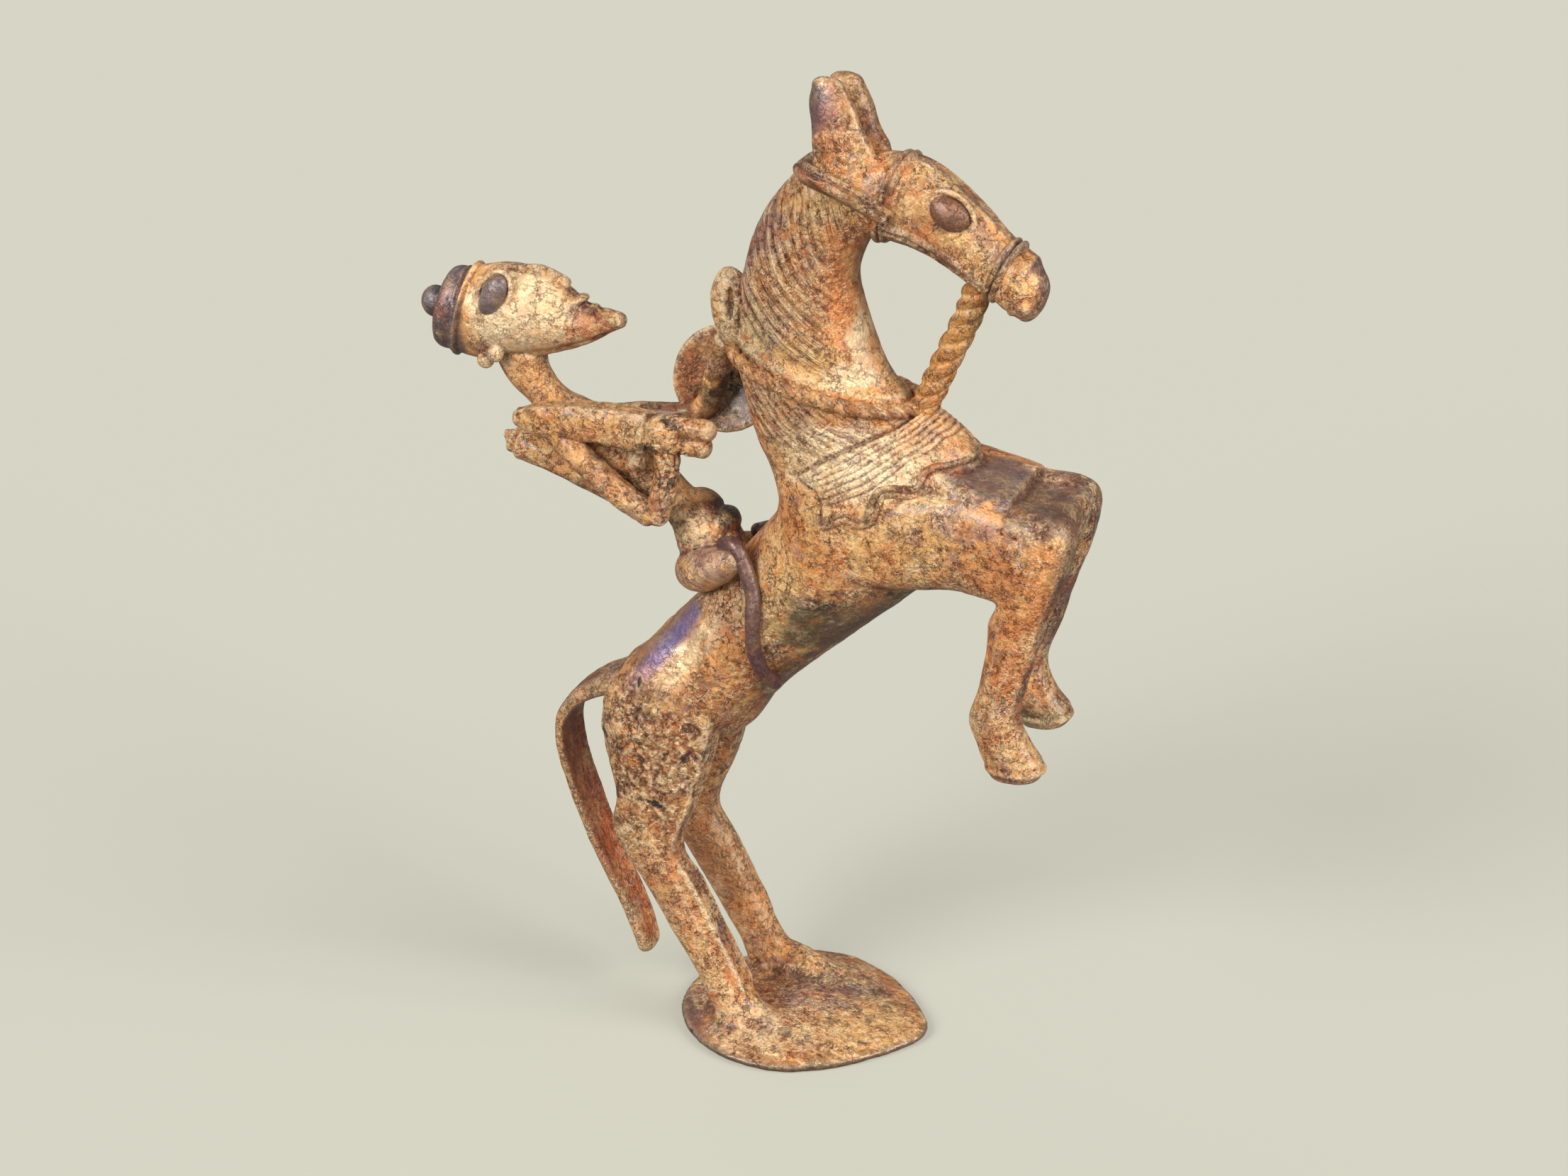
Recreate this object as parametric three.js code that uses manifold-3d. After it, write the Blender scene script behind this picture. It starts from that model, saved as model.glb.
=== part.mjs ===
// A rearing horse and its rider, cast in one with a leaf-shaped foot plate.
// Millimetres, +Z up. The origin is on the plate's underside, where its long line crosses its widest one.
// The horse faces +X. Its near side is -Y and its far side +Y.
import * as THREE from 'three';
import { mergeVertices } from 'three/addons/utils/BufferGeometryUtils.js';
import Module from 'manifold-3d';

const wasm = await Module();
wasm.setup();

// Driving dimensions
const FIGURE_HEIGHT = 218; // underside to ear tips
const PLATE_FRONT = 29.4; // from the origin to the pointed end
const PLATE_REAR = 26.6; // from the origin to the round end
const PLATE_NEAR = 26.2; // half widths to either side of the long line
const PLATE_FAR = 25;
const PLATE_EDGE = 2; // thickness at the rim
const PLATE_CROWN = 3.5; // rise of the plate's middle above its rim
const TAIL_WIDTH = 12.5;
const TAIL_THICKNESS = 3.4;
const LEAD_ROPE_DIAMETER = 5.8;
const COLLAR_DIAMETER = 3.6;
const HALTER_WIDTH = 3;
const HALTER_RISE = 0.9;
const LOCK_RISE = 0.5; // ridges of the mane above the furrows between them
const CLOTH_RISE = 0.6; // ridges of the breast cloth
const HEM_WIDTH = 2.4;
const CUFF_RISE = 1.8; // step on top of the forearms
const RIDER_ARM_DIAMETER = 5.4;
const RIDER_SHANK_DIAMETER = 3.4;
const GRIP_DIAMETER = 4.2; // the two broken ends in the near hand
const QUIVER_DIAMETER = 6.4;
const SHIELD_DIAMETER = 22.6;
const SHIELD_THICKNESS = 2.2;
const NOSTRIL_DEPTH = 1.2;

// The free forms keep their pose and proportions as shares of the figure's height above the plate's rim.
// They are written in parts of which the full height has 218 and the rim 2.
const HEIGHT_PARTS = 218;
const RIM_PARTS = 2;
const part = (FIGURE_HEIGHT - PLATE_EDGE) / (HEIGHT_PARTS - RIM_PARTS);
const at = (x, y, z) => new THREE.Vector3(x * part, y * part, PLATE_EDGE + (z - RIM_PARTS) * part);

const NEAR = -1;
const FAR = 1;
const SIDES = [NEAR, FAR];
const NEARWARD = new THREE.Vector3(0, NEAR, 0);
const degrees = THREE.MathUtils.degToRad;
const mix = THREE.MathUtils.lerp;
const samples = (count, make) => Array.from({ length: count + 1 }, (_, i) => make(i / count));
const curveOf = (points) => new THREE.CatmullRomCurve3(points, false, 'catmullrom', 0.5);

// Closed surfaces from rings and grids of points

function middleOf(ring) {
  const sum = new THREE.Vector3();
  ring.forEach((point) => sum.add(point));
  return sum.divideScalar(ring.length);
}

function closedGeometry(points, faces) {
  let volume = 0;
  for (let i = 0; i < faces.length; i += 3) {
    const [a, b, c] = [points[faces[i]], points[faces[i + 1]], points[faces[i + 2]]];
    volume += a.dot(b.clone().cross(c));
  }
  const geometry = new THREE.BufferGeometry().setFromPoints(points);
  geometry.setIndex(volume < 0 ? faces.reverse() : faces);
  return geometry;
}

// Skins a run of rings. A ring of one point is a pole, and an open end gets a pole at its middle.
function skin(rings) {
  const run = [...rings];
  if (run[0].length > 1) run.unshift([middleOf(run[0])]);
  if (run.at(-1).length > 1) run.push([middleOf(run.at(-1))]);
  const faces = [];
  let start = 0;
  for (let i = 0; i + 1 < run.length; i += 1) {
    const next = start + run[i].length;
    const sides = Math.max(run[i].length, run[i + 1].length);
    for (let k = 0; k < sides; k += 1) {
      const l = (k + 1) % sides;
      if (run[i].length > 1) faces.push(start + k, start + l, run[i + 1].length > 1 ? next + l : next);
      if (run[i + 1].length > 1) faces.push(run[i].length > 1 ? start + k : start, next + l, next + k);
    }
    start = next;
  }
  return closedGeometry(run.flat(), faces);
}

// A closed sheet between two grids of points over the same rows and columns.
function sheet(outer, inner) {
  const rows = outer.length;
  const columns = outer[0].length;
  const faces = [];
  const quad = (a, b, c, d) => faces.push(a, b, c, a, c, d);
  const top = (i, k) => i * columns + k;
  const under = (i, k) => rows * columns + top(i, k);
  for (let i = 0; i + 1 < rows; i += 1) {
    for (let k = 0; k + 1 < columns; k += 1) {
      quad(top(i, k), top(i + 1, k), top(i + 1, k + 1), top(i, k + 1));
      quad(under(i, k), under(i, k + 1), under(i + 1, k + 1), under(i + 1, k));
    }
    quad(top(i, 0), under(i, 0), under(i + 1, 0), top(i + 1, 0));
    quad(top(i, columns - 1), top(i + 1, columns - 1), under(i + 1, columns - 1), under(i, columns - 1));
  }
  for (let k = 0; k + 1 < columns; k += 1) {
    quad(top(0, k), top(0, k + 1), under(0, k + 1), under(0, k));
    quad(top(rows - 1, k), under(rows - 1, k), under(rows - 1, k + 1), top(rows - 1, k + 1));
  }
  return closedGeometry([...outer.flat(), ...inner.flat()], faces);
}

// Rounds off the last ring of a run with a dome of the given depth.
function domed(rings, depth, domeRings = 2) {
  const end = rings.at(-1);
  const middle = middleOf(end);
  const ahead = middle.clone().sub(middleOf(rings.at(-2))).normalize();
  const dome = [];
  for (let i = 1; i <= domeRings; i += 1) {
    const turn = degrees((90 * i) / (domeRings + 1));
    const centre = middle.clone().addScaledVector(ahead, depth * Math.sin(turn));
    dome.push(end.map((p) => p.clone().sub(middle).multiplyScalar(Math.cos(turn)).add(centre)));
  }
  return [...rings, ...dome, [middle.clone().addScaledVector(ahead, depth)]];
}

const domedStart = (rings, depth, domeRings) => domed([...rings].reverse(), depth, domeRings).reverse();

// A body given by stations [back x, back z, front x, front z, middle y, half width, squareness].
// at(t, angle) is the point of its surface at station t: 0 degrees is the back, 90 the near side.
function bodyOf(stations) {
  const backs = curveOf(stations.map(([x, z, , , y]) => at(x, y, z)));
  const fronts = curveOf(stations.map(([, , x, z, y]) => at(x, y, z)));
  const shapes = curveOf(stations.map(([, , , , , width, square = 2]) => new THREE.Vector3(width * part, square)));
  const last = stations.length - 1;
  const signedPower = (value, power) => Math.sign(value) * Math.abs(value) ** power;
  const surface = (t, angle, rise = 0) => {
    const [back, front, shape] = [backs, fronts, shapes].map((curve) => curve.getPoint(t / last));
    const middle = back.clone().lerp(front, 0.5);
    const half = back.sub(front).multiplyScalar(0.5);
    const depth = half.length();
    const along = signedPower(Math.cos(degrees(angle)), 2 / shape.y);
    const across = signedPower(Math.sin(degrees(angle)), 2 / shape.y);
    return middle.addScaledVector(half, (along * (depth + rise)) / depth)
      .addScaledVector(NEARWARD, across * (shape.x + rise));
  };
  const ring = (t, sides, rise = 0) => Array.from({ length: sides }, (_, k) => {
    const angle = (360 * k) / sides;
    return surface(typeof t === 'function' ? t(angle) : t, angle, rise);
  });
  const rings = (sides, perStation) => samples(Math.round(last * perStation), (u) => ring(u * last, sides));
  return { at: surface, ring, rings };
}

// A raised band round a body between two lines of station, each a function of the angle.
function sleeve(body, from, to, sides, rise) {
  return skin([body.ring(from, sides, -rise), body.ring(from, sides, rise), body.ring(to, sides, rise),
    body.ring(to, sides, -rise)]);
}

// Sweeps a section along a curve. section(u) gives [across, out] pairs, and out leans toward facing.
function sweep(points, steps, facing, section) {
  const curve = curveOf(points);
  return samples(steps, (u) => {
    const middle = curve.getPoint(u);
    const ahead = curve.getTangent(u);
    const out = facing.clone().addScaledVector(ahead, -facing.dot(ahead)).normalize();
    const across = ahead.clone().cross(out);
    return section(u).map(([a, b]) => middle.clone().addScaledVector(across, a).addScaledVector(out, b));
  });
}

// A round limb whose radius follows the given list from end to end.
function limb(points, radii, { sides = 6, steps = 6, facing = NEARWARD } = {}) {
  const sizes = curveOf(radii.map((radius) => new THREE.Vector3(radius)));
  const rings = sweep(points, steps, facing, (u) => {
    const radius = sizes.getPoint(u).x;
    return Array.from({ length: sides }, (_, k) => {
      const angle = degrees((360 * k) / sides);
      return [radius * Math.cos(angle), radius * Math.sin(angle)];
    });
  });
  const endDepth = 0.8; // of the radius
  return skin(domed(domedStart(rings, radii[0] * endDepth, 1), radii.at(-1) * endDepth, 1));
}

// A laid rope: a section with one lobe for each strand, turning as it goes.
function rope(points, diameter, { strands, turns, steps, facing = NEARWARD }) {
  const furrow = 0.72; // of the radius
  return skin(sweep(points, steps, facing, (u) => Array.from({ length: 2 * strands }, (_, k) => {
    const angle = degrees((180 * k) / strands + 360 * turns * u);
    const radius = (diameter / 2) * (k % 2 ? furrow : 1);
    return [radius * Math.cos(angle), radius * Math.sin(angle)];
  })));
}

// A raised line on a body's surface. path gives [station, angle] pairs along it.
const ROOT_DEPTH = 1.4 * part;

function ridge(body, path, width, rise) {
  const points = path.map(([t, angle]) => body.at(t, angle));
  const tops = path.map(([t, angle]) => body.at(t, angle, rise));
  return skin(points.map((point, i) => {
    const ahead = points[Math.min(i + 1, points.length - 1)].clone().sub(points[Math.max(i - 1, 0)]);
    const out = tops[i].clone().sub(point).normalize();
    const side = ahead.cross(out).normalize();
    const root = point.clone().addScaledVector(out, -ROOT_DEPTH);
    return [root.clone().addScaledVector(side, width / 2), tops[i], root.addScaledVector(side, -width / 2)];
  }));
}

// Furrowed relief over a patch of a body. spot(u, v) gives [station, angle], and every other row is a ridge
// that fades out at both ends.
function furrows(body, { ridges, steps, rise, spot }) {
  const floor = 0.3 * part;
  const grid = (riseOf) => samples(2 * ridges, (v) => samples(steps, (u) => {
    const [t, angle] = spot(u, v);
    return body.at(t, angle, riseOf(Math.round(2 * ridges * v) % 2, Math.sqrt(Math.sin(Math.PI * u))));
  }));
  return sheet(grid((onRidge, fade) => floor + onRidge * rise * fade), grid(() => -ROOT_DEPTH));
}

function ellipsoid(middle, [halfX, halfY, halfZ], pitch = 0, sides = 7) {
  const shape = new THREE.SphereGeometry(part, sides, Math.round(sides * 0.7)).scale(halfX, halfY, halfZ);
  return shape.rotateY(-degrees(pitch)).translate(...middle.toArray());
}

// Horse: trunk and neck

const trunk = bodyOf([
  [-38.6, 83.4, -34, 70, 0, 9],
  [-34.6, 86.6, -22, 66, 0, 12.5],
  [-28.8, 93.6, -12, 70, 0, 13.6],
  [-22.4, 100.8, -5, 80, 0, 13.6],
  [-15, 109.5, 4, 89, 0, 13.6],
  [-8.5, 117.5, 14.5, 98.5, 0, 14.4],
  [-4.8, 122.5, 24, 107, 0, 15.2, 2.1],
  [-4, 126.5, 34, 117, 0, 15.4, 2.2],
  [-5, 130, 40, 130, 0, 14.8, 2.2],
  [-7, 134, 38, 141, 0, 13.2],
  [-9, 138, 31, 147.5, 0, 11.6],
  [-11, 143.5, 24.5, 150.2, 0, 10.4],
  [-12.8, 150, 19.2, 156.5, 0, 9.6],
  [-14, 158, 16.2, 163, 0, 9],
  [-13.7, 167, 13.7, 170, 0, 8.6],
  [-12.3, 176, 12.3, 177, 0, 8.2],
  [-9.1, 186, 14, 183, 0, 7.8],
  [-3.8, 194.2, 17, 188, 0, 7.2],
  [0.6, 198.4, 20, 193, 0, 6.4],
]);

function trunkAndNeck() {
  return skin(domed(domedStart(trunk.rings(12, 1.1), 3 * part), 2 * part));
}

// Horse: mane, collar and breast cloth

const COLLAR_AT_CREST = 13;
const COLLAR_AT_CHEST = 10.9;
const POLL = 17.7;
const collarStation = (angle) => mix(COLLAR_AT_CHEST, COLLAR_AT_CREST, (1 + Math.cos(degrees(angle))) / 2);

// The locks run side by side, slanting down from the crest to the collar and the throat.
function mane() {
  const slant = 2; // stations dropped on the way from the crest to the middle of the side
  return SIDES.map((side) => furrows(trunk, {
    ridges: 7,
    steps: 3,
    rise: LOCK_RISE,
    spot: (u, v) => {
      const angle = mix(6, Math.min(146, 24 + 290 * v), u);
      const start = mix(COLLAR_AT_CREST + 0.8, POLL, v);
      return [start - slant * (1 - Math.cos(degrees(angle))), -side * angle];
    },
  }));
}

function collar() {
  const sink = 0.3 * COLLAR_DIAMETER;
  return SIDES.map((side) => rope(samples(12, (u) => {
    const angle = mix(-4, 184, u);
    return trunk.at(collarStation(angle), -side * angle, COLLAR_DIAMETER / 2 - sink);
  }), COLLAR_DIAMETER, { strands: 2, turns: 3.5 * side, steps: 18, facing: new THREE.Vector3(0, side, 0) }));
}

// Ridges run across the breast from one flank to the other, climbing toward the chest.
const CLOTH_REACH = 66; // degrees from the back
const clothLine = (angle, atFlank, atChest) => {
  const share = Math.abs(180 - angle) / (180 - CLOTH_REACH);
  return mix(atChest, atFlank, share ** 2);
};

function breastCloth() {
  return furrows(trunk, {
    ridges: 4,
    steps: 10,
    rise: CLOTH_RISE,
    spot: (u, v) => {
      const angle = mix(CLOTH_REACH, 360 - CLOTH_REACH, u);
      return [clothLine(angle, mix(9.1, 8.2, v), mix(10.4, 9.8, v)), angle];
    },
  });
}

function hem() {
  const scallop = 24.5; // degrees
  const scallopHeight = 0.24; // in stations
  return ridge(trunk, samples(24, (u) => {
    const angle = mix(CLOTH_REACH + 4, 356 - CLOTH_REACH, u);
    const share = Math.abs(180 - angle) / (176 - CLOTH_REACH);
    const wave = scallopHeight * Math.cos((2 * Math.PI * (angle - 180)) / scallop);
    return [mix(9.5, 7.5, share ** 1.5) + wave, angle];
  }), HEM_WIDTH, CLOTH_RISE + 0.3 * part);
}

function neckKnob() {
  return ellipsoid(at(-15, 0, 165), [4.8, 3.8, 9.6], 8, 10);
}

function knobHollow() {
  return ellipsoid(at(-14.4, -3.6, 167.5), [1.9, 2.4, 4.4], 8, 8);
}

// Horse: head, rolled a little with its near side up

const HEAD_ROLL = 11; // degrees
const HEAD_SIDES = 8;
const rollLine = at(0, 0, 191);

function rolled(geometry) {
  return geometry.translate(0, 0, -rollLine.z).rotateX(-degrees(HEAD_ROLL)).translate(0, 0, rollLine.z);
}

const head = bodyOf([
  [3.5, 199, 8.5, 187.5, 0, 6.4, 2.2],
  [11, 201.5, 14.5, 186, 0, 7.2, 2.4],
  [19, 203, 20, 185, 0, 7.2, 2.5],
  [25.5, 202, 25, 184.2, 0, 6.8, 2.6],
  [31.5, 199, 29.5, 182.6, 0, 6.5, 2.6],
  [37, 195, 34, 180.6, 0, 6, 2.6],
  [42, 190.8, 38.6, 178, 0, 5.4, 2.5],
  [46, 188, 42, 176, 0, 5.2, 2.3],
  [49.8, 185.8, 45, 174, 0, 5.5, 2.2],
  [52, 182.4, 47.8, 172.8, 0, 5, 2.2],
]);

const skull = () => rolled(skin(domed(domedStart(head.rings(HEAD_SIDES, 1.1), 2 * part), 3 * part)));

function horseEyes() {
  return SIDES.map((side) => rolled(ellipsoid(at(33.2, side * 5.1, side === NEAR ? 193.6 : 190.6), [4.8, 2.7, 3.7], -22)));
}

function nostrils() {
  return SIDES.map((side) => {
    const hole = ellipsoid(at(52.6, side * 3, 180.6), [1.6, 1, 1.1], -50, 6);
    return rolled(hole.translate(0, side * (NOSTRIL_DEPTH - part), 0));
  });
}

function ears() {
  return SIDES.map((side) => {
    const ear = bodyOf([
      [3.6, 195, 18, 197, side * 4.4, 2.9],
      [3.2, 201.5, 16.4, 202.6, side * 4.8, 3],
      [2.6, 206.8, 13.4, 207, side * 5, 2.9],
      [2, 211.6, 10, 212, side * 5.2, 2.7],
      [2.8, 215.2, 7.8, 215.4, side * 5.3, 2.2],
    ]);
    return rolled(skin(domed(ear.rings(8, 1), 2.2 * part, 1)));
  });
}

// Two bands go round the head, leaning forward over the top, with straps along the cheek between them.
function halter() {
  const halfWidth = HALTER_WIDTH / (2 * 6.2 * part); // in stations, which lie 6.2 parts apart
  const band = (crown, jaw) => {
    const line = (offset) => (angle) => mix(jaw, crown, (1 + Math.cos(degrees(angle))) / 2) + offset;
    return sleeve(head, line(-halfWidth), line(halfWidth), HEAD_SIDES, HALTER_RISE);
  };
  const straps = SIDES.flatMap((side) => {
    const strap = (from, to) => ridge(
      head,
      samples(4, (u) => [mix(from[0], to[0], u), -side * mix(from[1], to[1], u)]),
      HALTER_WIDTH,
      HALTER_RISE,
    );
    return [strap([0, 62], [1.9, 104]), strap([1.8, 126], [6.8, 132])];
  });
  return [band(2.5, 1.6), band(7.1, 6.8), ...straps].map(rolled);
}

function leadRope() {
  const path = [at(38.4, -0.5, 179), at(35.6, 0, 170.6), at(31.2, 0, 160.4), at(27.4, 0, 151.5), at(25, 0, 146)];
  return rope(path, LEAD_ROPE_DIAMETER, { strands: 3, turns: 1.8, steps: 18 });
}

// Horse: legs

function forelegs() {
  const footLift = { [NEAR]: 0.6, [FAR]: 3.4 };
  const shinBack = { [NEAR]: 0, [FAR]: 0.8 };
  return SIDES.map((side) => {
    const lift = footLift[side];
    const back = shinBack[side];
    const leg = bodyOf([
      [4, 117, 8, 107.5, side * 7.4, 6.6, 2.8],
      [13, 126, 16, 112.2, side * 8.6, 6.8, 3],
      [24, 133.6, 27, 113.4, side * 8.8, 6.8, 3],
      [37, 136.9, 38, 114.6, side * 8.4, 7, 2.8],
      [48.5, 135.2, 45.5, 114, side * 8.8, 7, 3],
      [58, 134.6, 46.8, 113.6, side * 9.4, 6.4, 3],
      [62.6 - back, 130.4, 46.6, 112.4, side * 9.8, 6, 2.8],
      [60.8 - back, 120, 45.2, 109.2, side * 10.2, 5.4, 2.7],
      [57.6 - back, 110.5, 45, 104.6, side * 10.4, 4.9, 2.5],
      [54.8 - back, 100.6, 44.2, 99, side * 10.5, 4.5, 2.4],
      [52.8 - back, 91.6 + lift, 43, 92.4 + lift, side * 10.5, 4.2],
      [52.4 - back, 86.6 + lift, 41.4, 86 + lift, side * 10.5, 4.4],
      [55 - back, 81.4 + lift, 43, 81 + lift, side * 10.5, 4.6],
      [58 - back, 76.8 + lift, 45, 76.4 + lift, side * 10.5, 4.8, 2.4],
      [57 - back, 74.4 + lift, 46.4, 73.8 + lift, side * 10.5, 4.4, 2.4],
    ]);
    return skin(domed(domedStart(leg.rings(8, 1), 3 * part, 1), 0.8 * part, 1));
  });
}

// The breast joins the upper forelegs as far as the knees, with a raised step over its first part.
function breast() {
  const block = bodyOf([
    [26, 141, 29, 118, 0, 10, 4],
    [38, 136.8, 40, 119, 0, 10, 4],
    [49, 133.8, 49, 121, 0, 10, 4],
    [60, 133, 59, 124, 0, 9.6, 4],
  ]);
  const rise = CUFF_RISE / part;
  const step = bodyOf([
    [26, 141.5 + rise, 30, 130, 0, 12, 5],
    [37, 137.2 + rise, 38, 128, 0, 12.4, 5],
    [49, 134.8 + rise, 48.6, 127, 0, 12.6, 5],
  ]);
  return [skin(domed(block.rings(12, 1), 2 * part, 1)), skin(step.rings(12, 1))];
}

function hindLegs() {
  const footBack = { [NEAR]: 0, [FAR]: 2 };
  return SIDES.map((side) => {
    const stations = [
      [-34, 88, -18, 92, side * 6.5, 6],
      [-40.8, 79, -15.5, 81, side * 8.4, 6.6, 2.2],
      [-42, 70.5, -15, 72, side * 9.4, 6.6, 2.3],
      [-40.4, 62, -17.2, 62.6, side * 10, 6.2, 2.4],
      [-38.4, 54, -20, 54.4, side * 10.4, 5.7, 2.5],
      [-39.4, 46.6, -23, 47, side * 10.8, 5.1, 2.5],
      [-36.2, 40.5, -23.2, 41.6, side * 11, 4.5, 2.6],
      [-30.4, 32, -19.6, 35.4, side * 11.3, 4.2, 2.8],
      [-24.4, 22.4, -14.6, 26, side * 11.6, 4.2, 2.8],
      [-19, 13.5, -9.8, 16.8, side * 11.8, 4.3, 2.6],
      [-15.6, 6, -5.4, 8, side * 12, 4.7, 2.4],
      [-14, 0.8, -3, 0.8, side * 12, 5, 2.4],
    ];
    const leg = bodyOf(stations.map(([backX, backZ, frontX, frontZ, ...rest], i) => {
      const shift = footBack[side] * Math.max(0, (i - 4) / (stations.length - 5));
      return [backX - shift, backZ, frontX - shift, frontZ, ...rest];
    }));
    return skin(domedStart(leg.rings(8, 1), 3 * part, 1));
  });
}

// The tail is a strap, hollowed along the side that faces the legs.
function tail() {
  const path = [[-34, 79.6], [-40, 77], [-45.8, 74.4], [-50.6, 71], [-53.8, 66.2], [-54.4, 60.4], [-52.8, 53],
    [-49.8, 44], [-46.4, 35], [-41.6, 25], [-38.2, 17.4], [-36.4, 11.5]].map(([x, z]) => at(x, 0, z));
  const tipWidth = 0.7; // of the full width
  const hollow = 0.35; // of the thickness
  const thick = TAIL_THICKNESS / 2;
  const rings = sweep(path, 14, NEARWARD, (u) => {
    const half = (TAIL_WIDTH / 2) * mix(1, tipWidth, Math.max(0, u - 0.5) * 2);
    return [[thick, half * 0.7], [thick, -half * 0.7], [0, -half], [-thick, -half * 0.8],
      [-thick * (1 - hollow), -half * 0.4], [-thick * (1 - hollow), half * 0.4], [-thick, half * 0.8], [0, half]];
  });
  return skin(domed(rings, 2.4 * part, 1));
}

// Foot plate, with a mound where each hind foot stands

function platePoint(share, angle, z) {
  const tipTaper = 0.42;
  const ahead = Math.max(0, Math.cos(angle));
  const x = (Math.cos(angle) > 0 ? PLATE_FRONT : PLATE_REAR) * Math.cos(angle);
  const halfWidth = Math.sin(angle) > 0 ? PLATE_FAR : PLATE_NEAR;
  const y = halfWidth * Math.sin(angle) * (1 - tipTaper * ahead ** 2);
  return new THREE.Vector3(x * share, y * share, z);
}

function footPlate() {
  const sides = 30;
  const ring = (share, z) => Array.from({ length: sides }, (_, k) => platePoint(share, degrees((360 * k) / sides), z));
  const crownAt = (share) => PLATE_EDGE + PLATE_CROWN * (1 - share ** 2);
  const rimInset = 0.985;
  return skin([
    [platePoint(0, 0, 0)],
    ring(rimInset, 0),
    ring(1, PLATE_EDGE / 2),
    ring(rimInset, PLATE_EDGE),
    ...[0.8, 0.5].map((share) => ring(share, crownAt(share))),
    [platePoint(0, 0, crownAt(0))],
  ]);
}

// Each foot flares into the plate, further ahead than behind.
function mounds() {
  const flares = {
    [NEAR]: { x: -8, y: -12.2, halfX: 13, halfY: 9, ahead: 4, height: 11 },
    [FAR]: { x: -9, y: 12, halfX: 17, halfY: 10, ahead: 9, height: 13 },
  };
  return SIDES.map((side) => {
    const { x, y, halfX, halfY, ahead, height } = flares[side];
    const rise = (share) => PLATE_EDGE / 2 + height * part * (1 - share) ** 1.3;
    const rings = [1, 0.78, 0.56, 0.34].map((share) => Array.from({ length: 12 }, (_, k) => {
      const angle = degrees(30 * k);
      const out = share * (ahead + halfX * Math.cos(angle));
      return at(x + out, y + share * halfY * Math.sin(angle), 0).setZ(rise(share));
    }));
    return skin([...rings, [at(x, y, 0).setZ(rise(0.2))]]);
  });
}

// Rider: body, thighs and shanks

function riderBody() {
  const torso = bodyOf([
    [-24, 102, -10, 106, 0, 7],
    [-27.6, 110, -13.5, 114.4, 0, 6.6],
    [-29.4, 115.4, -18.6, 119.8, 0, 5.4],
    [-32.8, 118.4, -24.6, 122.6, 0, 5],
    [-38, 121.4, -29.4, 127.2, 0, 5.2],
    [-45, 125.4, -36, 133.6, 0, 6],
    [-52, 129.4, -44, 138, 0, 7],
    [-57.6, 133, -52, 139.4, 0, 6.4],
  ]);
  const neck = bodyOf([
    [-69.5, 148, -58, 151, 0, 4.2],
    [-66.2, 142.6, -57.2, 146.2, 0, 3.8],
    [-61.4, 138.4, -53.6, 141.6, 0, 4.2],
    [-56, 133.6, -46.6, 139, 0, 5.2],
  ]);
  return [skin(domed(torso.rings(8, 1), 3 * part, 1)), skin(neck.rings(8, 1.5))];
}

function sash() {
  return [
    ellipsoid(at(-22.6, 1, 119.4), [4.8, 5.4, 2.8], 26),
    ellipsoid(at(-17.4, 0, 116.8), [3.6, 4.8, 3.8], -30),
  ];
}

// Stations and angles on the trunk, from the knee down to the toe
const SHANK_LINE = [[4.65, 24], [4.8, 50], [4.3, 78], [4, 90], [3.75, 104], [3.55, 124], [3.45, 142]];

function riderLegs() {
  const shankRadius = RIDER_SHANK_DIAMETER / 2;
  const kneeDrop = { [NEAR]: 0, [FAR]: -5 };
  return SIDES.flatMap((side) => {
    const drop = kneeDrop[side];
    const thigh = limb(
      [at(-22.6, side * 3, 107.6), at(-19.4, side * 8, 109.6 + drop / 2), at(-13, side * 12, 113.2 + drop),
        at(-8.4, side * 13.6, 116.6 + drop)],
      [4.4 * part, 4.2 * part, 3.4 * part, 2.2 * part],
      { steps: 4, facing: new THREE.Vector3(0, 0, 1) },
    );
    const shank = limb(
      SHANK_LINE.map(([t, angle]) => trunk.at(t, -side * angle, shankRadius * 0.5)),
      [shankRadius, shankRadius],
      { steps: 6, sides: 6 },
    );
    return [thigh, shank];
  });
}

// Rider: head

const riderHead = bodyOf([
  [-80.2, 161.6, -80.6, 150, 0, 4.6],
  [-75.5, 166, -77.2, 147.6, 0, 6.6],
  [-69.6, 168, -71, 146.8, 0, 7.4],
  [-64, 168.8, -64, 147.8, 0, 7.4],
  [-58.6, 168, -57, 149.6, 0, 6.6],
  [-54.6, 166.2, -50.6, 151.8, 0, 5.4],
  [-51.4, 163.8, -46.8, 153.6, 0, 4.4],
  [-47.6, 161.4, -43.8, 155.6, 0, 3.4],
  [-43.6, 161.2, -41.8, 156.8, 0, 2.6],
  [-41, 161, -40, 157.8, 0, 2.1],
]);

function riderHeadAndCap() {
  const sides = 8;
  const face = skin(domed(domedStart(riderHead.rings(sides, 1), 2 * part, 1), 1.2 * part, 1));
  const brimFront = (angle) => 1.1 + 0.25 * Math.cos(degrees(angle));
  const brimBack = (angle) => brimFront(angle) - 0.75;
  const rise = 0.9 * part;
  const brimRise = 1.8 * part;
  const cap = skin(domedStart([
    riderHead.ring(0, sides, rise),
    riderHead.ring(brimBack, sides, rise),
    riderHead.ring(brimBack, sides, brimRise),
    riderHead.ring(brimFront, sides, brimRise),
    riderHead.ring(brimFront, sides, -rise),
  ], 2 * part, 1));
  const topknot = ellipsoid(at(-83.2, 0, 157.8), [3, 3, 3.5]);
  return [face, cap, topknot];
}

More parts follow.
